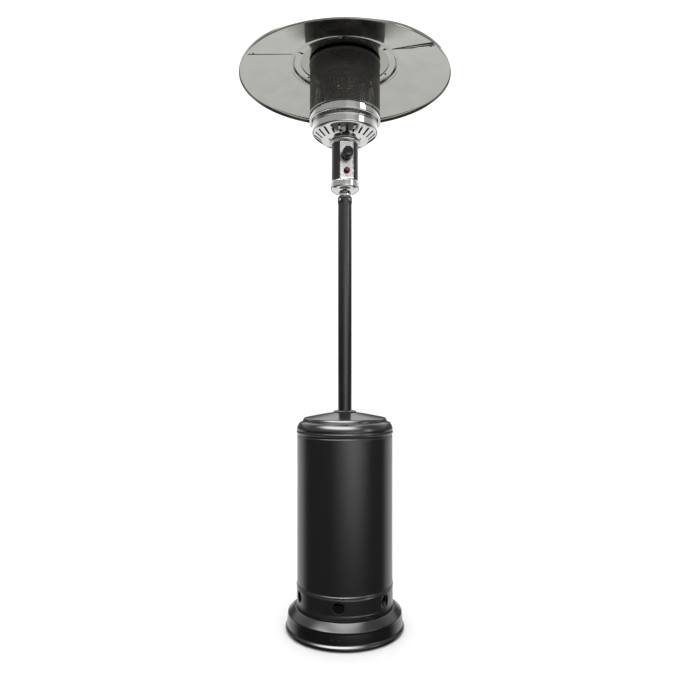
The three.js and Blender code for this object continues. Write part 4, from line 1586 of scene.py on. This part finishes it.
@dataclass
class Studio:
    """The floor, the soft light, what the metal reflects, and the camera. Lengths here are metres."""

    distance: float = 2.308
    eye: float = 0.974
    azimuth: float = -9.0
    lens: float = 30.62
    shift: tuple[float, float] = (0.0045, 0.0408)
    dome_radius: float = 20.0
    dome_level: float = 0.06
    sky_level: float = 1.2
    panels: tuple[Panel, ...] = (
        Panel((-190.0, -112.0), (-100.0, 95.0), (1.0, 16.0), (1.0, 1.0), 0.85),
        Panel((112.0, 190.0), (-100.0, 95.0), (16.0, 1.0), (1.0, 1.0), 0.85),
        Panel((-190.0, -140.0), (26.0, 66.0), (1.0, 16.0), (6.0, 6.0), 0.6),
        Panel((140.0, 190.0), (26.0, 66.0), (16.0, 1.0), (6.0, 6.0), 0.6),
        Panel((-112.0, 112.0), (12.0, 62.0), (16.0, 16.0), (8.0, 6.0), 0.34),
        Panel((4.0, 34.0), (12.0, 34.0), (4.0, 4.0), (6.0, 6.0), 0.14),
        Panel((-112.0, 112.0), (-100.0, -42.0), (16.0, 16.0), (1.0, 8.0), 0.85),
        Panel((-112.0, 112.0), (-100.0, -60.0), (10.0, 10.0), (1.0, 4.0), -0.82),
        Panel((50.0, 68.0), (12.0, 32.0), (1.5, 1.5), (3.0, 1.0), 2.6),
        Panel((-190.0, 190.0), (68.0, 100.0), (1.0, 1.0), (6.0, 1.0), 6.0),
        Panel((-70.0, 30.0), (42.0, 58.0), (24.0, 24.0), (8.0, 8.0), 15.0),
        Panel((6.0, 36.0), (-6.0, 16.0), (46.0, 32.0), (12.0, 8.0), 2.3),
        Panel((-190.0, -160.0), (-2.5, 20.0), (1.0, 5.0), (2.5, 3.0), -0.83),
        Panel((160.0, 190.0), (-2.5, 20.0), (5.0, 1.0), (2.5, 3.0), -0.83),
        Panel((-158.0, -112.0), (1.0, 20.0), (2.0, 16.0), (3.0, 3.0), -0.75),
        Panel((112.0, 158.0), (1.0, 20.0), (16.0, 2.0), (3.0, 3.0), -0.75),
    )

    def build(self) -> None:
        """Sets the floor, the world, the dome, the light and the camera."""
        view = bpy.context.scene.view_settings
        view.view_transform = "Standard"
        view.look = "None"
        self.floor()
        self.world()
        self.dome()
        self.light("key_box", 25.0, 2.6, (1.2, 2.0), 14.0, 2.2)
        self.camera()

    def toward(self, degrees: float, reach: float, height: float) -> Vector:
        """A place in the room, by its angle to the right of the camera as seen from the heater."""
        angle = math.radians(self.azimuth + degrees)
        return Vector((math.sin(angle) * reach, -math.cos(angle) * reach, height))

    def floor(self) -> None:
        """Lays the pale floor."""
        deselect()
        bpy.ops.mesh.primitive_circle_add(vertices=96, radius=14.0, fill_type="NGON")
        ground = named("studio_floor")
        paint = bpy.data.materials.new("studio_floor")
        paint.use_nodes = True
        shader = NodeTree(paint).shader
        shader.inputs["Base Color"].default_value = (0.92, 0.92, 0.92, 1)
        shader.inputs["Roughness"].default_value = 0.7
        ground.data.materials.append(paint)
        ground.visible_glossy = False

    def world(self) -> None:
        """Makes the white surroundings."""
        world = bpy.data.worlds.new("studio")
        bpy.context.scene.world = world
        world.use_nodes = True
        sky = world.node_tree.nodes["Background"]
        sky.inputs["Color"].default_value = (1, 1, 1, 1)
        sky.inputs["Strength"].default_value = self.sky_level

    def dome(self) -> None:
        """Stands a dome round the heater that only reflections see: grey, with soft brighter panels on it."""
        deselect()
        bpy.ops.mesh.primitive_uv_sphere_add(segments=48, ring_count=24, radius=self.dome_radius)
        shell = named("studio_dome")
        paint = bpy.data.materials.new("studio_dome")
        paint.use_nodes = True
        tree = NodeTree(paint)
        shader = tree.shader
        shader.inputs["Base Color"].default_value = (0, 0, 0, 1)
        shader.inputs["Roughness"].default_value = 1.0
        shader.inputs["Specular IOR Level"].default_value = 0.0
        shader.inputs["Emission Color"].default_value = (1, 1, 1, 1)
        place = tree.add("ShaderNodeTexCoord")
        turn = tree.add("ShaderNodeMapping")
        turn.inputs["Rotation"].default_value = (0, 0, math.radians(-self.azimuth))
        split = tree.add("ShaderNodeSeparateXYZ")
        tree.link(place.outputs["Object"], turn.inputs["Vector"])
        tree.link(turn.outputs["Vector"], split.inputs["Vector"])
        front = tree.math("MULTIPLY", split.outputs["Y"], -1.0)
        across = tree.math("ARCTAN2", split.outputs["X"], front)
        rise = tree.math("ARCSINE", tree.math("DIVIDE", split.outputs["Z"], self.dome_radius), 0.0)
        level = self.dome_level
        for panel in self.panels:
            within = tree.math(
                "MULTIPLY",
                tree.within(across, panel.azimuth, panel.side_soft),
                tree.within(rise, panel.height, panel.height_soft),
            )
            glow = tree.math("MULTIPLY", within, panel.level)
            level = tree.math("ADD", glow, level)
        tree.link(level, shader.inputs["Emission Strength"])
        shell.data.materials.append(paint)
        shell.visible_camera = False
        shell.visible_diffuse = False
        shell.visible_shadow = False
        shell.visible_transmission = False

    def light(
        self, name: str, degrees: float, reach: float, size: tuple[float, float], power: float, height: float
    ) -> None:
        """Adds a soft box that faces the heater.

        Args:
            name: its name.
            degrees: its angle to the right of the camera.
            reach: how far it stands from the heater.
            size: its width and height.
            power: its power, in watts.
            height: the height of its middle.
        """
        lamp = bpy.data.lights.new(name, "AREA")
        lamp.shape = "RECTANGLE"
        lamp.size, lamp.size_y = size
        lamp.energy = power
        box = bpy.data.objects.new(name, lamp)
        bpy.context.scene.collection.objects.link(box)
        box.location = self.toward(degrees, reach, height)
        box.visible_glossy = False
        aim = Vector((0, 0, 1.2)) - box.location
        box.rotation_euler = aim.to_track_quat("-Z", "Y").to_euler()

    def camera(self) -> None:
        """Sets the camera level, at its height and distance."""
        camera = bpy.data.cameras.new("camera")
        camera.sensor_width = 36.0
        camera.lens = self.lens
        camera.shift_x, camera.shift_y = self.shift
        stand = bpy.data.objects.new("camera", camera)
        bpy.context.scene.collection.objects.link(stand)
        stand.location = self.toward(0.0, self.distance, self.eye)
        stand.rotation_euler = (math.pi / 2, 0.0, math.radians(self.azimuth))
        bpy.context.scene.camera = stand


def main() -> None:
    """Builds the heater's pieces in order, round the frame."""
    logging.basicConfig(level=logging.INFO, format="%(message)s")
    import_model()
    Studio().build()
    for part in (Base(), GasSupply(), Housing(), Post(), ControlHead(), BurnerHead(), Reflector()):
        part.build()
        LOG.info("%s is built", type(part).__name__)


if __name__ == "__main__":
    main()
